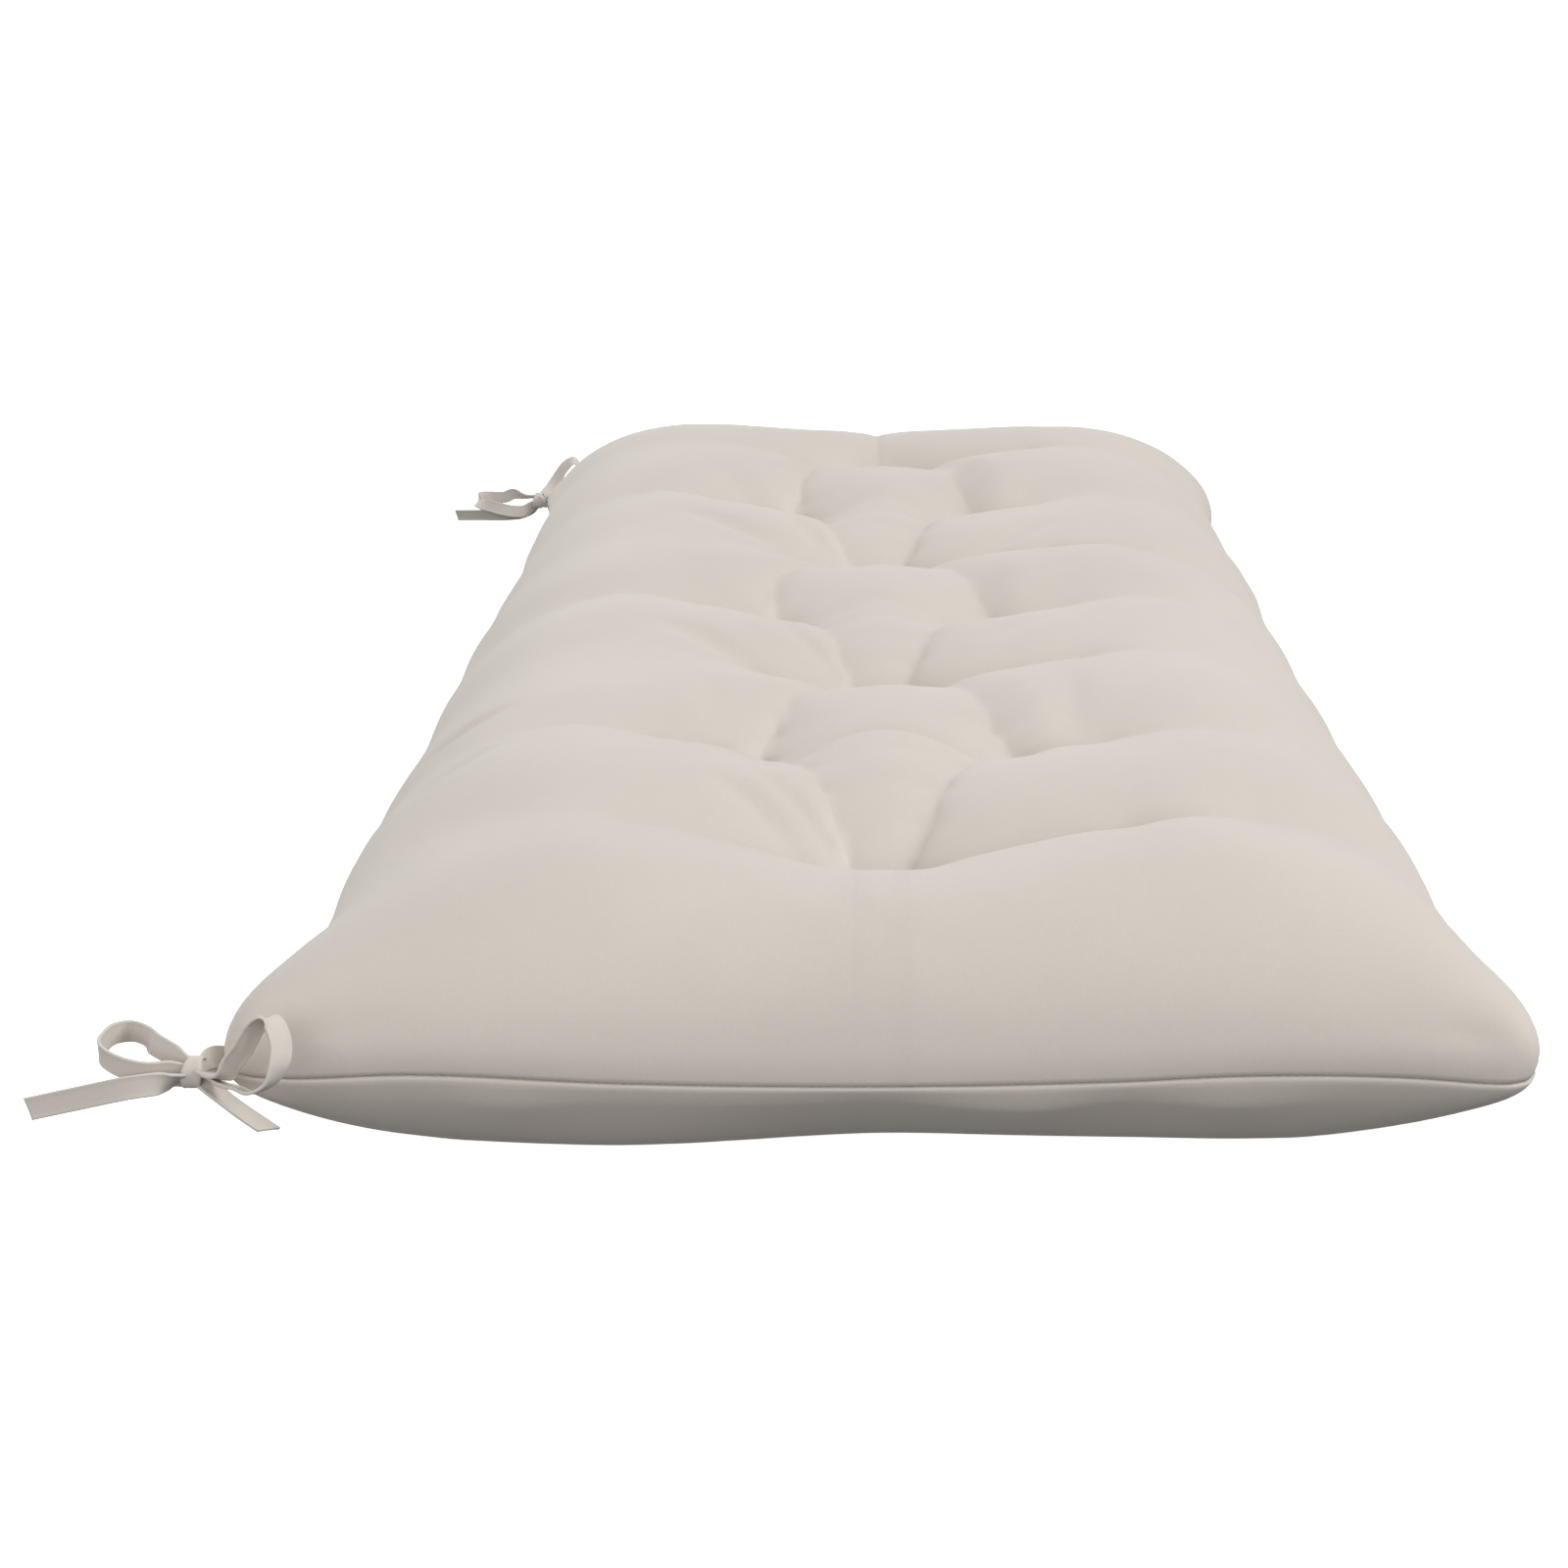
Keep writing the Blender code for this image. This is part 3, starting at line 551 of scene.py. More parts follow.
def settle():
    """Where the net starts, and where the filling's pressure takes it with its edge and its tufts held."""
    across, rows = settle_lines()
    y = rows[:, None]
    left, right = side_lines(y)
    middle, half = (left + right) / 2, (right - left) / 2
    x = middle + half * across[None, :]
    y = np.broadcast_to(y, x.shape).copy()
    start, _ = cushion_points(x, y)
    plain, _ = cushion_points(x, y, creased=False)
    weight = np.zeros(x.shape)
    weight[0], weight[-1], weight[:, 0], weight[:, -1] = 1, 1, 1, 1
    for row in TUFTS:
        for a, b in ((row.left, row.right),) if row.right - row.left < 0.03 else ((row.left,) * 2, (row.right,) * 2):
            away = np.hypot(x - np.clip(x, a, b), y - row.y)
            weight = np.maximum(weight, (away < 0.75 * CELL).astype(float))
    r, c = x.shape
    index = np.arange(r * c).reshape(r, c)
    faces = np.stack([index[:-1, :-1], index[:-1, 1:], index[1:, 1:], index[1:, :-1]], axis=-1).reshape(-1, 4)
    mesh = bpy.data.meshes.new("settling")
    mesh.from_pydata(start.reshape(-1, 3).tolist(), [], faces.tolist())
    obj = bpy.data.objects.new("settling", mesh)
    scene.collection.objects.link(obj)
    obj.shape_key_add(name="Basis")
    key = obj.shape_key_add(name="panel")
    key.data.foreach_set("co", plain.reshape(-1).astype(np.float32))
    group = obj.vertex_groups.new(name="held")
    group.add(index[weight > 0.5].tolist(), 1.0, "REPLACE")
    modifier = obj.modifiers.new("cloth", "CLOTH")
    s = modifier.settings
    s.quality = 8
    s.mass = CLOTH_MASS
    s.tension_stiffness = 15
    s.compression_stiffness = 15
    s.shear_stiffness = 5
    s.bending_stiffness = 0.6
    s.tension_damping = 5
    s.compression_damping = 5
    s.shear_damping = 5
    s.bending_damping = 0.5
    s.air_damping = 1.0
    s.use_pressure = True
    s.uniform_pressure_force = PRESSURE
    s.vertex_group_mass = "held"
    s.rest_shape_key = key
    s.effector_weights.gravity = 0.0
    modifier.collision_settings.use_collision = False
    modifier.point_cache.frame_start = 1
    modifier.point_cache.frame_end = SETTLE_FRAMES
    for frame_number in range(1, SETTLE_FRAMES + 1):
        scene.frame_set(frame_number)
    moved = read_points(obj).reshape(start.shape) - start
    # The net's own ripples, as small as its cells, are smoothed away.
    for _ in range(SMOOTHINGS):
        moved[1:-1] = (moved[:-2] + 2 * moved[1:-1] + moved[2:]) / 4
        moved[:, 1:-1] = (moved[:, :-2] + 2 * moved[:, 1:-1] + moved[:, 2:]) / 4
    done = start + moved
    bpy.data.objects.remove(obj)
    bpy.data.meshes.remove(mesh)
    scene.frame_set(1)
    return across, rows, start, done


def cubic_at(grid, i, j):
    """The grid's value at fractional indices, on a smooth cubic through its points."""
    def weights(t):
        return (
            -0.5 * t + t * t - 0.5 * t**3, 1 - 2.5 * t * t + 1.5 * t**3,
            0.5 * t + 2 * t * t - 1.5 * t**3, -0.5 * t * t + 0.5 * t**3,
        )
    i0 = np.clip(np.floor(i).astype(int), 0, grid.shape[0] - 2)
    j0 = np.clip(np.floor(j).astype(int), 0, grid.shape[1] - 2)
    wi, wj = weights(i - i0), weights(j - j0)
    out = 0.0
    for a in range(4):
        row = np.clip(i0 + a - 1, 0, grid.shape[0] - 1)
        for b in range(4):
            column = np.clip(j0 + b - 1, 0, grid.shape[1] - 1)
            out = out + (wi[a] * wj[b])[..., None] * grid[row, column]
    return out


def read_points(obj):
    graph = bpy.context.evaluated_depsgraph_get()
    evaluated = obj.evaluated_get(graph)
    flat = np.zeros(len(evaluated.data.vertices) * 3, np.float32)
    evaluated.data.vertices.foreach_get("co", flat)
    return flat.reshape(-1, 3).astype(float)


def cloth_places(surface):
    """Where each point lies on its own cloth: the way along the surface from the middle, across and along."""
    across = np.linalg.norm(np.diff(surface, axis=1), axis=-1)
    along = np.linalg.norm(np.diff(surface, axis=0), axis=-1)
    u = np.concatenate([np.zeros((surface.shape[0], 1)), np.cumsum(across, axis=1)], axis=1)
    v = np.concatenate([np.zeros((1, surface.shape[1])), np.cumsum(along, axis=0)], axis=0)
    u -= u[:, u.shape[1] // 2][:, None]
    v -= v[v.shape[0] // 2][None, :]
    return np.stack([u, v], axis=-1)


# Rings of the seam between the two panels: how far in and how far up each lies, in metres.
SEAM_RINGS = [(0.0004, 0.00036), (0.0011, 0.00018), (0.0019, 0.0), (0.0011, -0.00018), (0.0004, -0.00036)]


def make_cushion(material):
    x, y = cushion_grid()
    upper, lower = cushion_points(x, y)
    across, along, start, done = settle()
    left, right = side_lines(y)
    share = (x - (left + right) / 2) / ((right - left) / 2)
    i = np.interp(y, along, np.arange(len(along)))
    j = np.interp(share, across, np.arange(len(across)))
    settled = cubic_at(done, i, j) + KEEP_SHARP * (upper - cubic_at(start, i, j))
    inside = soft_step(np.minimum(1 - np.abs(share), 1 - np.abs(y) / HALF_LENGTH) / 0.01)[..., None]
    upper = upper + (settled - upper) * inside
    upper[..., 2] -= folds(x, y)
    flat_up, flat_low = cloth_places(upper), cloth_places(lower)
    rows, columns = upper.shape[:2]
    points = []
    cloth = []
    index_up = np.arange(rows * columns).reshape(rows, columns)
    points.append(upper.reshape(-1, 3))
    cloth.append(flat_up.reshape(-1, 2))
    index_low = index_up + rows * columns
    points.append(lower.reshape(-1, 3))
    cloth.append(flat_low.reshape(-1, 2) + np.array([1.2, 0.0]))

    def loop(index):
        return np.concatenate([index[0, :-1], index[:-1, -1], index[-1, :0:-1], index[:0:-1, 0]])

    ring_up, ring_low = loop(index_up), loop(index_low)
    all_points = np.concatenate(points)
    edge = all_points[ring_up]
    n = len(ring_up)
    # The way in from the outline, level, at each point of it.
    run = np.roll(edge, -1, axis=0) - np.roll(edge, 1, axis=0)
    inward = np.stack([-run[:, 1], run[:, 0], np.zeros(n)], axis=1)
    inward /= np.linalg.norm(inward, axis=1)[:, None]
    for _ in range(3):
        inward = (np.roll(inward, 1, axis=0) + 2 * inward + np.roll(inward, -1, axis=0)) / 4
    inward /= np.linalg.norm(inward, axis=1)[:, None]
    seam_line = edge.copy()

    # Open the two panels a little at the seam, and put the seam's rings between them.
    for index, (rim_in, rim_up) in ((ring_up, (0.0, 0.0006)), (ring_low, (0.0, -0.0006))):
        all_points[index] = seam_line + inward * rim_in + np.array([0, 0, rim_up])
    rings = []
    start = len(all_points)
    extra = []
    for k, (go_in, up) in enumerate(SEAM_RINGS):
        extra.append(seam_line + inward * go_in + np.array([0, 0, up]))
        rings.append(np.arange(n) + start + k * n)
    all_points = np.concatenate([all_points] + extra)
    all_cloth = np.concatenate(cloth + [np.concatenate(cloth)[ring_up]] * len(SEAM_RINGS))

    faces = []

    def quads(a, b, c, d):
        faces.append(np.stack([a.ravel(), b.ravel(), c.ravel(), d.ravel()], axis=1))

    u = index_up
    quads(u[:-1, :-1], u[:-1, 1:], u[1:, 1:], u[1:, :-1])
    w = index_low
    quads(w[:-1, :-1], w[1:, :-1], w[1:, 1:], w[:-1, 1:])
    loops = [ring_up] + rings + [ring_low]
    for a, b in zip(loops[:-1], loops[1:]):
        quads(a, b, np.roll(b, -1), np.roll(a, -1))
    faces = np.concatenate(faces)

    mesh = bpy.data.meshes.new("cushion_cover")
    mesh.from_pydata(all_points.tolist(), [], faces.tolist())
    mesh.validate()
    layer = mesh.uv_layers.new(name="cloth")
    corner = np.zeros(len(mesh.loops), np.int32)
    mesh.loops.foreach_get("vertex_index", corner)
    layer.uv.foreach_set("vector", all_cloth[corner].astype(np.float32).ravel())
    mesh.shade_smooth()
    mesh.update()
    obj = bpy.data.objects.new("cushion_cover", mesh)
    scene.collection.objects.link(obj)
    mesh.materials.append(material)
    return obj, seam_line, inward


# ================================================================ tapes
TAPE_WIDTH = 0.009
TAPE_THICK = 0.0014
PINCH = (0.58, 0.011)       # a tape is this much narrower in its knot, and is full again this far out
NEAR_KNOT = (-0.2587, -0.5000, 0.0426)
FAR_KNOT = (-0.2555, 0.4998, 0.0420)
TapeRow = namedtuple("TapeRow", "x y z wx wy wz")
# Millimetres from the knot: the centre of the tape and the direction of its width. Each bow has two tapes. The first
# goes from the corner through the knot, round the left loop and back through the knot to the right end. The second goes
# from the corner through the knot, round the right loop and back through the knot to the left end.
NEAR_LEFT_LOOP = [
    TapeRow(0.6, -0.6, 0.8, 0, 0, 1),
    TapeRow(-7.1, -3, 1.6, 0, 0, 1),
    TapeRow(-17.2, -6, 2.5, 0, 0, 1),
    TapeRow(-29.1, -2, 3.9, 0, 0, 1),
    TapeRow(-37.7, 8, 4.4, 0, 0, 1),
    TapeRow(-38.6, 17, 4.4, 0, 0, 1),
    TapeRow(-36.5, 24, 4.8, 0, 0, 1),
    TapeRow(-31.5, 28, 4.1, 0, 0, 1),
    TapeRow(-23.6, 22, 4.7, 0.15, 0, 0.98),
    TapeRow(-18.4, 14, 5.0, 0.5, 0, 0.86),
    TapeRow(-10.7, 8, 3.8, 0.5, 0, 0.86),
    TapeRow(-4.3, 3, 2.3, 0.3, 0.1, 0.95),
    TapeRow(0.6, 0.9, 0.3, 0.05, 0.4, 0.9),
]
NEAR_RIGHT_LOOP = [
    TapeRow(0.5, 0.6, 0.2, -0.2, 0.3, 0.9),
    TapeRow(5.4, -5, 1.8, -0.1, -0.9, 0.42),
    TapeRow(10.8, -10, 2.3, -0.1, -0.9, 0.42),
    TapeRow(14.9, -13, 4.2, -0.35, -0.72, 0.6),
    TapeRow(18.1, -13.5, 9.4, -0.55, -0.5, 0.66),
    TapeRow(22.6, -13.5, 15.5, -0.55, -0.5, 0.66),
    TapeRow(28.4, -12.5, 24.6, -0.6, -0.6, 0.5),
    TapeRow(32.6, -12, 26.9, -0.65, -0.7, 0.25),
    TapeRow(35.4, -13, 24.2, -0.71, -0.7, 0.08),
    TapeRow(37.6, -16, 16.9, -0.71, -0.7, 0.05),
    TapeRow(36.5, -19, 10.6, -0.6, -0.75, 0.12),
    TapeRow(33.3, -20, 4.7, -0.3, -0.88, 0.3),
    TapeRow(26.4, -19.5, 0.8, 0, -0.92, 0.38),
    TapeRow(19.8, -15.5, 0.5, 0.1, -0.92, 0.36),
    TapeRow(12.9, -10, -0.2, 0.05, -0.93, 0.36),
    TapeRow(7.3, -5, 0.1, 0, -0.9, 0.42),
    TapeRow(0.5, -1.4, -1, 0, -0.4, 0.85),
]
NEAR_LEFT_TAIL = [
    TapeRow(-1, -1.6, -2.2, 0, -0.3, 0.9),
    TapeRow(-5.0, -6, -0.7, 0, -0.75, 0.65),
    TapeRow(-7.8, -9, -0.3, 0, -0.5, 0.85),
    TapeRow(-11.0, -11.5, 0.4, 0, 0.1, 1),
    TapeRow(-21.4, -13, -0.5, 0.05, 0.25, 0.97),
    TapeRow(-43.2, -9, -7.0, 0.05, 0.25, 0.97),
    TapeRow(-62.1, -6, -12.6, 0.05, 0.25, 0.97),
]
NEAR_RIGHT_TAIL = [
    TapeRow(0.9, -0.6, -1.4, 0.05, 0.6, 0.75),
    TapeRow(5.6, -3, -4.1, 0.1, 0.92, 0.3),
    TapeRow(11.4, -5, -8.3, 0.12, 0.96, 0.09),
    TapeRow(17.5, -5.5, -13.4, 0.12, 0.96, 0.09),
    TapeRow(27.6, -5.5, -21.5, 0.12, 0.96, 0.09),
]
NEAR_BAND = [
    TapeRow(9.5, 13, 0.2, 0, 0.9, 0.4),
    TapeRow(5.4, 8, 2.2, 0, 0.8, 0.6),
    TapeRow(2.7, 4, 1.8, 0, 0.5, 0.9),
]
FAR_LEFT_LOOP = [
    TapeRow(0.6, -0.6, -0.6, 0, 0, 1),
    TapeRow(-5.0, -4.5, -3.7, 0, 0, 1),
    TapeRow(-9.7, -9.5, -6.1, 0, 0.3, 0.95),
    TapeRow(-17.6, -12.5, -5.6, 0, 0.3, 0.95),
    TapeRow(-26.5, -13, -3.8, 0, 0.3, 0.95),
    TapeRow(-36.9, -9, -1.9, 0, 0.5, 0.85),
    TapeRow(-44.8, -1, -1.7, 0.2, 0.85, 0.4),
    TapeRow(-45.2, 8, 0.3, 0.05, 0.3, 0.95),
    TapeRow(-37.2, 10, 0.4, 0, 0, 1),
    TapeRow(-26.5, 9.5, 0.5, 0.1, -0.1, 0.97),
    TapeRow(-20.1, 8.5, 3.2, 0.2, -0.3, 0.93),
    TapeRow(-11.3, 5, 2.5, 0.1, -0.8, 0.5),
    TapeRow(-5.6, 2, 2.4, 0, -0.9, 0.4),
    TapeRow(0.6, 0.9, 1, 0.05, -0.4, 0.9),
]
FAR_RIGHT_LOOP = [
    TapeRow(0.5, -0.6, 0.2, -0.2, -0.3, 0.9),
    TapeRow(3.6, 5, 3.0, -0.1, 0.85, 0.5),
    TapeRow(7.3, 10, 5.7, -0.5, 0.4, 0.75),
    TapeRow(12.6, 13, 13.6, -0.55, 0.5, 0.66),
    TapeRow(19.9, 12.5, 23.7, -0.4, 0.6, 0.6),
    TapeRow(25.8, 12, 27.8, -0.1, 0.8, 0.5),
    TapeRow(31.3, 13, 24.4, -0.5, 0.75, 0.2),
    TapeRow(33.0, 16, 16.8, -0.71, 0.7, 0.05),
    TapeRow(30.8, 19, 8.4, -0.5, 0.8, 0.15),
    TapeRow(22.7, 20, 1.2, -0.1, 0.92, 0.38),
    TapeRow(11.9, 14, -0.2, 0.1, 0.92, 0.36),
    TapeRow(5.4, 6, -0.8, 0, 0.8, 0.5),
    TapeRow(0.5, 1.4, -1, 0, 0.4, 0.85),
]
FAR_LEFT_TAIL = [
    TapeRow(-1, -1.6, -2.4, 0, -0.3, 0.95),
    TapeRow(-6.4, -0.6, -6.7, 0, -0.2, 0.97),
    TapeRow(-13.1, -2.5, -9.5, 0, -0.3, 0.95),
    TapeRow(-27.9, -5.5, -10.2, 0, -0.3, 0.95),
    TapeRow(-42.8, -7, -9.7, 0, -0.3, 0.95),
    TapeRow(-61.4, -7, -9.8, 0, -0.3, 0.95),
]
FAR_RIGHT_TAIL = [
    TapeRow(0.9, 0.6, -1.4, 0.05, -0.6, 0.75),
    TapeRow(5.5, 3, -4.5, 0.15, -0.9, 0.3),
    TapeRow(11.5, 5, -9, 0.17, -0.95, 0.18),
    TapeRow(19, 5.5, -15.5, 0.17, -0.95, 0.18),
    TapeRow(28, 5.5, -24, 0.17, -0.95, 0.18),
]
FAR_BAND = [
    TapeRow(9.5, -13, 1.2, 0, -0.9, 0.4),
    TapeRow(6, -8, 1.2, 0, -0.8, 0.6),
    TapeRow(3, -4, 0.8, 0, -0.5, 0.9),
]


def lowered(rows, by):
    return [r._replace(z=r.z - by) for r in rows]


NEAR_FIRST = NEAR_BAND + NEAR_LEFT_LOOP + NEAR_RIGHT_TAIL
NEAR_SECOND = lowered(NEAR_BAND, 1.8) + NEAR_RIGHT_LOOP + NEAR_LEFT_TAIL
FAR_FIRST = FAR_BAND + FAR_LEFT_LOOP + FAR_RIGHT_TAIL
FAR_SECOND = lowered(FAR_BAND, 1.8) + FAR_RIGHT_LOOP + FAR_LEFT_TAIL


def curve_through(rows, step):
    """Points and width directions on a smooth curve through the rows, about step apart, in metres."""
    values = np.array([tuple(r) for r in rows], float)
    values[:, :3] /= 1000
    gaps = np.linalg.norm(np.diff(values[:, :3], axis=0), axis=1) ** 0.5
    knots = np.concatenate([[0.0], np.cumsum(gaps)])
    fine = np.linspace(0, knots[-1], 2000)
    slope = np.zeros_like(values)
    for k in range(len(values)):
        a, b = max(k - 1, 0), min(k + 1, len(values) - 1)
        if a < k < b:
            ha, hb = knots[k] - knots[a], knots[b] - knots[k]
            slope[k] = (
                (values[k] - values[a]) / ha * hb + (values[b] - values[k]) / hb * ha
            ) / (ha + hb)
        else:
            slope[k] = (values[b] - values[a]) / (knots[b] - knots[a])
    i = np.clip(np.searchsorted(knots, fine, side="right") - 1, 0, len(knots) - 2)
    h = (knots[i + 1] - knots[i])[:, None]
    t = ((fine - knots[i])[:, None]) / h
    line = (
        (2 * t**3 - 3 * t**2 + 1) * values[i]
        + (t**3 - 2 * t**2 + t) * h * slope[i]
        + (3 * t**2 - 2 * t**3) * values[i + 1]
        + (t**3 - t**2) * h * slope[i + 1]
    )
    along = np.concatenate([[0], np.cumsum(np.linalg.norm(np.diff(line[:, :3], axis=0), axis=1))])
    count = max(2, int(math.ceil(along[-1] / step)) + 1)
    at = np.linspace(0, along[-1], count)
    out = np.stack([np.interp(at, along, line[:, k]) for k in range(6)], axis=1)
    return out[:, :3], out[:, 3:], along[-1]


# The tape's cross-section: flat, with rolled edges a little thicker than its middle. Across the width, and up, as
# shares of the half width and half thickness.
TAPE_SECTION = [
    (-1.00, 0.0), (-0.985, 0.62), (-0.93, 1.0), (-0.84, 1.0), (-0.74, 0.80), (-0.45, 0.72), (0.0, 0.70), (0.45, 0.72),
    (0.74, 0.80), (0.84, 1.0), (0.93, 1.0), (0.985, 0.62),
]
TAPE_SECTION = TAPE_SECTION + [(1.00, 0.0)] + [(a, -b) for a, b in TAPE_SECTION[:0:-1]]


def tape(name, rows, knot, material, cut=(0.0, 0.0)):
    """A flat tape along the rows, and the points down its middle. cut slants each end, in metres."""
    centre, width, length = curve_through(rows, 0.0009)
    centre = centre + np.array(knot)
    run = np.gradient(centre, axis=0)
    run /= np.linalg.norm(run, axis=1)[:, None]
    width = width - run * (width * run).sum(1)[:, None]
    width /= np.linalg.norm(width, axis=1)[:, None]
    face = np.cross(run, width)
    n, m = len(centre), len(TAPE_SECTION)
    s = np.array([a for a, _ in TAPE_SECTION]) * TAPE_WIDTH / 2
    t = np.array([b for _, b in TAPE_SECTION]) * TAPE_THICK / 2
    full = PINCH[0] + (1 - PINCH[0]) * soft_step(np.linalg.norm(centre - np.array(knot), axis=1) / PINCH[1])
    points = centre[:, None, :] + width[:, None, :] * s[None, :, None] * full[:, None, None] + face[:, None, :] * t[None, :, None]
    # The ends are cut on a slant.
    for end, slant in ((0, cut[0]), (-1, cut[1])):
        if slant:
            reach = 14
            for k in range(reach):
                j = k if end == 0 else n - 1 - k
                fade = 1 - k / reach
                points[j] += run[j][None, :] * (s / (TAPE_WIDTH / 2) * slant * fade)[:, None] * (-1 if end == 0 else 1)
    faces = []
    index = np.arange(n * m).reshape(n, m)
    a, b = index[:-1], index[1:]
    faces += np.stack([a.ravel(), np.roll(a, -1, 1).ravel(), np.roll(b, -1, 1).ravel(), b.ravel()], 1).tolist()
    faces.append(index[0][::-1].tolist())
    faces.append(index[-1].tolist())
    mesh = bpy.data.meshes.new(name)
    mesh.from_pydata(points.reshape(-1, 3).tolist(), [], faces)
    mesh.validate()
    bm = bmesh.new()
    bm.from_mesh(mesh)
    bmesh.ops.recalc_face_normals(bm, faces=bm.faces)
    bm.to_mesh(mesh)
    bm.free()
    layer = mesh.uv_layers.new(name="cloth")
    along = np.arange(n) * length / (n - 1)
    around = np.array([a for a, _ in TAPE_SECTION]) * TAPE_WIDTH / 2
    cloth = np.stack(np.broadcast_arrays(along[:, None], around[None, :]), axis=-1).reshape(-1, 2)
    corner = np.zeros(len(mesh.loops), np.int32)
    mesh.loops.foreach_get("vertex_index", corner)
    layer.uv.foreach_set("vector", cloth[corner].astype(np.float32).ravel())
    mesh.shade_smooth()
    obj = bpy.data.objects.new(name, mesh)
    scene.collection.objects.link(obj)
    mesh.materials.append(material)
    return obj, centre, length


def knot_band(name, knot, material, mirror):
    """The turn of tape round the middle of the bow."""
    turns = 48
    across = [(-1.0, 0.0), (-0.96, 0.7), (-0.85, 1.0), (-0.5, 0.86), (0.0, 0.95), (0.5, 0.86), (0.85, 1.0), (0.96, 0.7),
              (1.0, 0.0), (0.9, -0.8), (0.0, -0.9), (-0.9, -0.8)]
    flip = -1 if mirror else 1
    points = []
    for k in range(turns):
        a = 2 * math.pi * k / turns
        ca, sa = math.cos(a), math.sin(a)
        ry = 0.0055 * (abs(ca) ** 0.8) * (1 if ca > 0 else -1)
        rz = 0.0052 * (abs(sa) ** 0.85) * (1 if sa > 0 else -1)
        half = 0.0037 + 0.0004 * math.cos(2 * a + 0.6) - 0.0005 * (sa > 0.3) * sa
        tilt = 0.0007 * sa
        out = Vector((0, ca / 0.0041, sa / 0.0049)).normalized()
        for s, t in across:
            thick = 0.00075 * t
            points.append((
                knot[0] + s * half + tilt,
                knot[1] + flip * (ry + out.y * thick),
                knot[2] + rz + out.z * thick,
            ))
    m = len(across)
    faces = []
    for k in range(turns):
        for j in range(m):
            a, b = k * m + j, k * m + (j + 1) % m
            c, d = ((k + 1) % turns) * m + (j + 1) % m, ((k + 1) % turns) * m + j
            faces.append((a, b, c, d))
    mesh = bpy.data.meshes.new(name)
    mesh.from_pydata(points, [], faces)
    mesh.validate()
    bm = bmesh.new()
    bm.from_mesh(mesh)
    bmesh.ops.recalc_face_normals(bm, faces=bm.faces)
    bm.to_mesh(mesh)
    bm.free()
    layer = mesh.uv_layers.new(name="cloth")
    cloth = np.array([(k * 0.0006, across[j][0] * 0.0034) for k in range(turns) for j in range(m)])
    corner = np.zeros(len(mesh.loops), np.int32)
    mesh.loops.foreach_get("vertex_index", corner)
    layer.uv.foreach_set("vector", cloth[corner].astype(np.float32).ravel())
    mesh.shade_smooth()
    obj = bpy.data.objects.new(name, mesh)
    scene.collection.objects.link(obj)
    mesh.materials.append(material)
    return obj


# ================================================================ materials
def node(tree, kind, **values):
    made = tree.nodes.new(kind)
    for key, value in values.items():
        setattr(made, key, value)
    return made


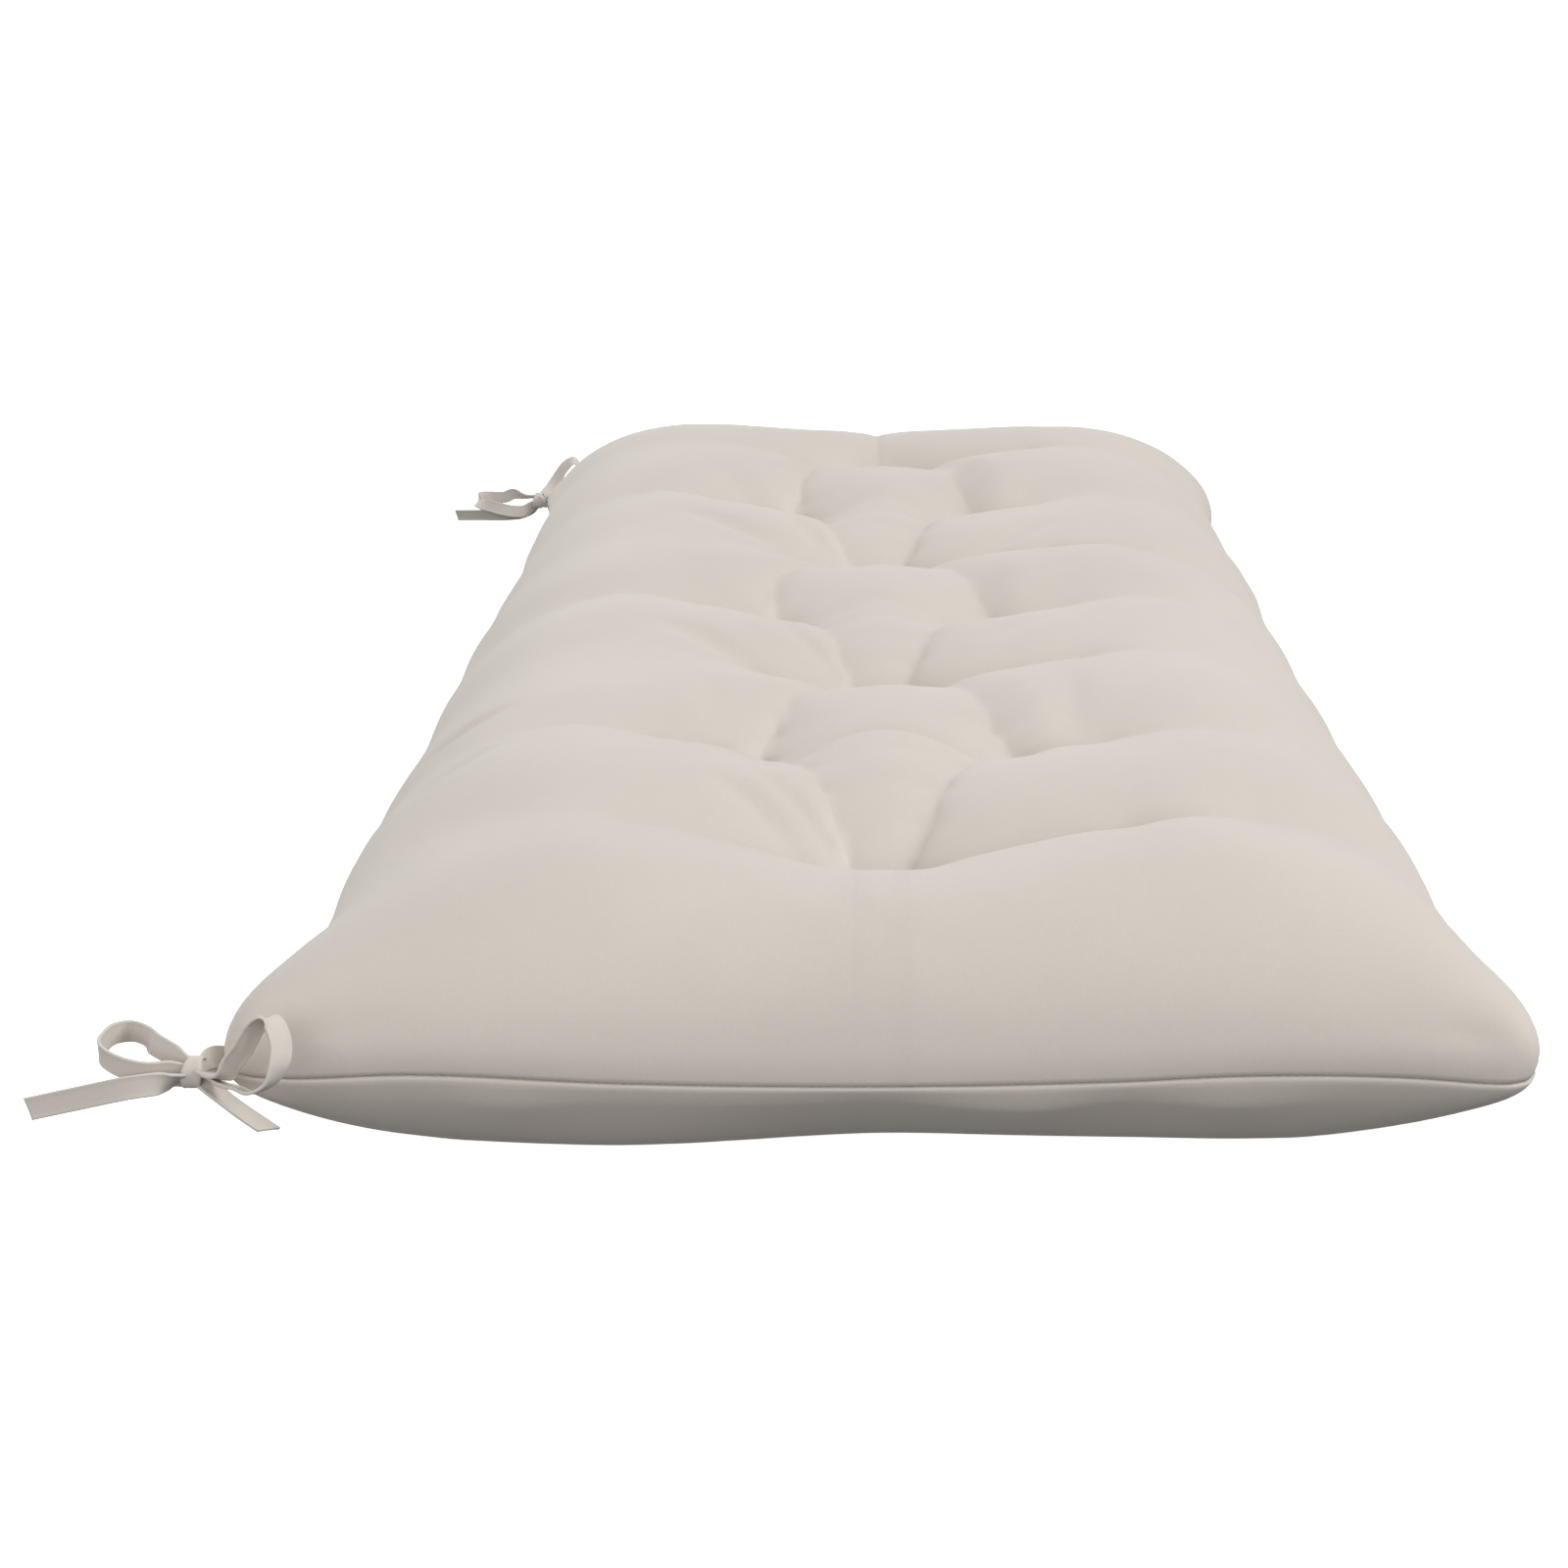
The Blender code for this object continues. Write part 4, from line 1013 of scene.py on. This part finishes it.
def cloth_material(name, colour, thread, bump_mm, roughness, sheen):
    """Plain woven cloth: two tones that drift slowly, a fine plain weave from the cloth's own coordinates."""
    material = bpy.data.materials.new(name)
    material.use_nodes = True
    tree = material.node_tree
    shader = tree.nodes["Principled BSDF"]
    shader.inputs["Roughness"].default_value = roughness
    shader.inputs["Sheen Weight"].default_value = sheen
    shader.inputs["Sheen Roughness"].default_value = 0.5
    shader.inputs["Specular IOR Level"].default_value = 0.25
    link = tree.links.new

    cloth = node(tree, "ShaderNodeUVMap", uv_map="cloth")
    place = node(tree, "ShaderNodeTexCoord")

    # The slow drift of tone over the panel.
    drift = node(tree, "ShaderNodeTexNoise")
    drift.inputs["Scale"].default_value = 9.0
    drift.inputs["Detail"].default_value = 3.0
    link(place.outputs["Object"], drift.inputs["Vector"])
    fleck = node(tree, "ShaderNodeTexNoise")
    fleck.inputs["Scale"].default_value = 700.0
    fleck.inputs["Detail"].default_value = 2.0
    link(place.outputs["Object"], fleck.inputs["Vector"])

    # The weave: threads both ways, one up where the other is down.
    def wave(direction, scale, shift):
        w = node(tree, "ShaderNodeTexWave", wave_type="BANDS", bands_direction=direction, wave_profile="SIN")
        w.inputs["Scale"].default_value = scale
        w.inputs["Distortion"].default_value = 0.35
        w.inputs["Detail"].default_value = 1.0
        w.inputs["Detail Scale"].default_value = 2.0
        w.inputs["Phase Offset"].default_value = shift
        link(cloth.outputs["UV"], w.inputs["Vector"])
        return w

    bands = math.pi * 2 / (20 * thread)
    warp = wave("X", bands, 0.0)
    weft = wave("Y", bands, 0.0)
    weave = node(tree, "ShaderNodeMath", operation="MULTIPLY")
    link(warp.outputs["Fac"], weave.inputs[0])
    link(weft.outputs["Fac"], weave.inputs[1])

    dark = tuple(c * 0.955 for c in colour)
    light = tuple(min(1.0, c * 1.02) for c in colour)
    tone = node(tree, "ShaderNodeMix", data_type="RGBA")
    tone.inputs[6].default_value = (*dark, 1)
    tone.inputs[7].default_value = (*light, 1)
    spread = node(tree, "ShaderNodeMapRange")
    spread.inputs["From Min"].default_value = 0.25
    spread.inputs["From Max"].default_value = 0.75
    link(drift.outputs["Fac"], spread.inputs["Value"])
    link(spread.outputs["Result"], tone.inputs[0])

    shade = node(tree, "ShaderNodeMix", data_type="RGBA", blend_type="MULTIPLY")
    shade.inputs[0].default_value = 1.0
    link(tone.outputs[2], shade.inputs[6])
    grain = node(tree, "ShaderNodeMapRange")
    grain.inputs["To Min"].default_value = 0.955
    grain.inputs["To Max"].default_value = 1.03
    link(weave.outputs["Value"], grain.inputs["Value"])
    speck = node(tree, "ShaderNodeMapRange")
    speck.inputs["From Min"].default_value = 0.3
    speck.inputs["From Max"].default_value = 0.7
    speck.inputs["To Min"].default_value = 0.985
    speck.inputs["To Max"].default_value = 1.012
    link(fleck.outputs["Fac"], speck.inputs["Value"])
    both = node(tree, "ShaderNodeMath", operation="MULTIPLY")
    link(grain.outputs["Result"], both.inputs[0])
    link(speck.outputs["Result"], both.inputs[1])
    grey = node(tree, "ShaderNodeCombineColor")
    for k in range(3):
        link(both.outputs["Value"], grey.inputs[k])
    link(grey.outputs["Color"], shade.inputs[7])
    link(shade.outputs[2], shader.inputs["Base Color"])

    bump = node(tree, "ShaderNodeBump")
    bump.inputs["Strength"].default_value = 0.6
    bump.inputs["Distance"].default_value = bump_mm / 1000
    link(weave.outputs["Value"], bump.inputs["Height"])
    link(bump.outputs["Normal"], shader.inputs["Normal"])
    return material


COVER_COLOUR = (0.640, 0.591, 0.538)
cover_cloth = cloth_material("cover_cloth", COVER_COLOUR, 0.0007, 0.05, 0.88, 0.10)
# The tapes are the cover's own cloth, but their colour is painted about 7% lighter than the cover's: painted light that
# makes up for the shade the bows get.
tape_cloth_painted_lighter = cloth_material("tape_cloth_painted_lighter", (0.685, 0.635, 0.580), 0.0006, 0.05, 0.88, 0.10)
thread_cloth = cloth_material("seam_thread", (0.520, 0.470, 0.430), 0.0002, 0.02, 0.70, 0.10)

# ================================================================ the bows come first, then the cushion
ties = []
for name, knot, first, second, mirror in (
    ("tie_near", NEAR_KNOT, NEAR_FIRST, NEAR_SECOND, False),
    ("tie_far", FAR_KNOT, FAR_FIRST, FAR_SECOND, True),
):
    band = knot_band(name + "_wrap", knot, tape_cloth_painted_lighter, mirror)
    one, one_line, one_length = tape(name + "_first", first, knot, tape_cloth_painted_lighter, cut=(0.0, 0.0035))
    two, two_line, two_length = tape(name + "_second", second, knot, tape_cloth_painted_lighter, cut=(0.0, 0.0008))
    for piece in (band, one, two):
        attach(piece, "root")
    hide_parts(name)
    ties.append((one_length, two_length))

cushion, seam_line, seam_inward = make_cushion(cover_cloth)
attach(cushion, "root")
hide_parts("cushion")


# ================================================================ seam stitching
def make_stitches(material):
    """One small stitch after another along the seam, lying in its groove."""
    closed = np.concatenate([seam_line, seam_line[:1]])
    along = np.concatenate([[0], np.cumsum(np.linalg.norm(np.diff(closed, axis=0), axis=1))])
    inward = np.concatenate([seam_inward, seam_inward[:1]])
    pitch, long, radius = 0.0034, 0.0024, 0.00018
    count = int(along[-1] / pitch)
    at = np.arange(count) * along[-1] / count
    sides, rings = 6, [(-0.5, 0.25), (-0.38, 0.85), (0.0, 1.0), (0.38, 0.85), (0.5, 0.25)]
    points, faces = [], []
    for s in at:
        ring_start = len(points)
        for share, fat in rings:
            d = (s + share * long) % along[-1]
            centre = np.array([np.interp(d, along, closed[:, k]) for k in range(3)])
            into = np.array([np.interp(d, along, inward[:, k]) for k in range(3)])
            into /= np.linalg.norm(into)
            bow = 0.00095 + 0.0005 * (2 * share) ** 2
            centre = centre + into * bow + np.array([0, 0, 0.00008])
            for j in range(sides):
                a = 2 * math.pi * j / sides
                points.append(centre + radius * fat * (into * math.cos(a) + np.array([0, 0, math.sin(a)])))
        for r in range(len(rings) - 1):
            for j in range(sides):
                a = ring_start + r * sides + j
                b = ring_start + r * sides + (j + 1) % sides
                faces.append((a, b, b + sides, a + sides))
        faces.append(tuple(ring_start + j for j in range(sides))[::-1])
        last = ring_start + (len(rings) - 1) * sides
        faces.append(tuple(last + j for j in range(sides)))
    mesh = bpy.data.meshes.new("seam_stitching")
    mesh.from_pydata([tuple(p) for p in points], [], faces)
    mesh.validate()
    bm = bmesh.new()
    bm.from_mesh(mesh)
    bmesh.ops.recalc_face_normals(bm, faces=bm.faces)
    bm.to_mesh(mesh)
    bm.free()
    mesh.shade_smooth()
    layer = mesh.uv_layers.new(name="cloth")
    corner = np.zeros(len(mesh.loops), np.int32)
    mesh.loops.foreach_get("vertex_index", corner)
    flat = np.array(points)[:, :2]
    layer.uv.foreach_set("vector", flat[corner].astype(np.float32).ravel())
    obj = bpy.data.objects.new("seam_stitching", mesh)
    scene.collection.objects.link(obj)
    mesh.materials.append(material)
    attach(obj, "root")
    return obj


stitches = make_stitches(thread_cloth)

# ================================================================ stage and light
floor_mesh = bpy.data.meshes.new("floor")
floor_mesh.from_pydata([(-30, -30, 0), (30, -30, 0), (30, 30, 0), (-30, 30, 0)], [], [(0, 1, 2, 3)])
floor = bpy.data.objects.new("floor", floor_mesh)
scene.collection.objects.link(floor)
floor_material = bpy.data.materials.new("floor")
floor_material.use_nodes = True
floor_shader = floor_material.node_tree.nodes["Principled BSDF"]
floor_shader.inputs["Base Color"].default_value = (0.90, 0.90, 0.90, 1)
floor_shader.inputs["Roughness"].default_value = 0.9
floor_shader.inputs["Specular IOR Level"].default_value = 0.1
floor_shader.inputs["Emission Color"].default_value = (1.0, 1.0, 1.0, 1)
floor_shader.inputs["Emission Strength"].default_value = 0.85
floor.visible_diffuse = False
floor_mesh.materials.append(floor_material)

# Light from all sides, brighter from above than from below.
world = bpy.data.worlds.new("world")
world.use_nodes = True
sky = world.node_tree
direction = sky.nodes.new("ShaderNodeTexCoord")
split = sky.nodes.new("ShaderNodeSeparateXYZ")
height = sky.nodes.new("ShaderNodeMapRange")
height.interpolation_type = "SMOOTHSTEP"
height.inputs["From Min"].default_value = -0.20
height.inputs["From Max"].default_value = 0.10
height.inputs["To Min"].default_value = 0.035
height.inputs["To Max"].default_value = 1.0
sky.links.new(direction.outputs["Generated"], split.inputs[0])
sky.links.new(split.outputs["Z"], height.inputs["Value"])
fall = sky.nodes.new("ShaderNodeMapRange")
fall.interpolation_type = "SMOOTHSTEP"
fall.inputs["From Min"].default_value = 0.35
fall.inputs["From Max"].default_value = 0.90
fall.inputs["To Min"].default_value = 0.655
fall.inputs["To Max"].default_value = 0.147
sky.links.new(split.outputs["Z"], fall.inputs["Value"])
both = sky.nodes.new("ShaderNodeMath")
both.operation = "MULTIPLY"
sky.links.new(height.outputs["Result"], both.inputs[0])
sky.links.new(fall.outputs["Result"], both.inputs[1])
sky.links.new(both.outputs[0], sky.nodes["Background"].inputs["Strength"])
tint = sky.nodes.new("ShaderNodeMix")
tint.data_type = "RGBA"
tint.inputs[6].default_value = (1.0, 0.82, 0.66, 1)
tint.inputs[7].default_value = (1.0, 1.0, 1.0, 1)
share = sky.nodes.new("ShaderNodeMapRange")
share.inputs["From Min"].default_value = -0.25
share.inputs["From Max"].default_value = 0.10
sky.links.new(split.outputs["Z"], share.inputs["Value"])
sky.links.new(share.outputs["Result"], tint.inputs[0])
sky.links.new(tint.outputs[2], sky.nodes["Background"].inputs["Color"])
scene.world = world


def area_light(name, place, aim, size, power):
    data = bpy.data.lights.new(name, "AREA")
    data.shape = "RECTANGLE"
    data.size, data.size_y = size
    data.energy = power
    light = bpy.data.objects.new(name, data)
    scene.collection.objects.link(light)
    light.location = place
    light.rotation_euler = (Vector(aim) - Vector(place)).to_track_quat("-Z", "Y").to_euler()
    return light


area_light("key", (3.39, -0.60, 2.89), (0, 0, 0.05), (2.8, 2.8), 147)
area_light("back", (-2.50, 3.42, 1.54), (0, 0, 0.05), (2.8, 2.8), 103)
area_light("front", (-1.55, -3.70, 2.10), (0, 0, 0.05), (3.6, 3.0), 70)
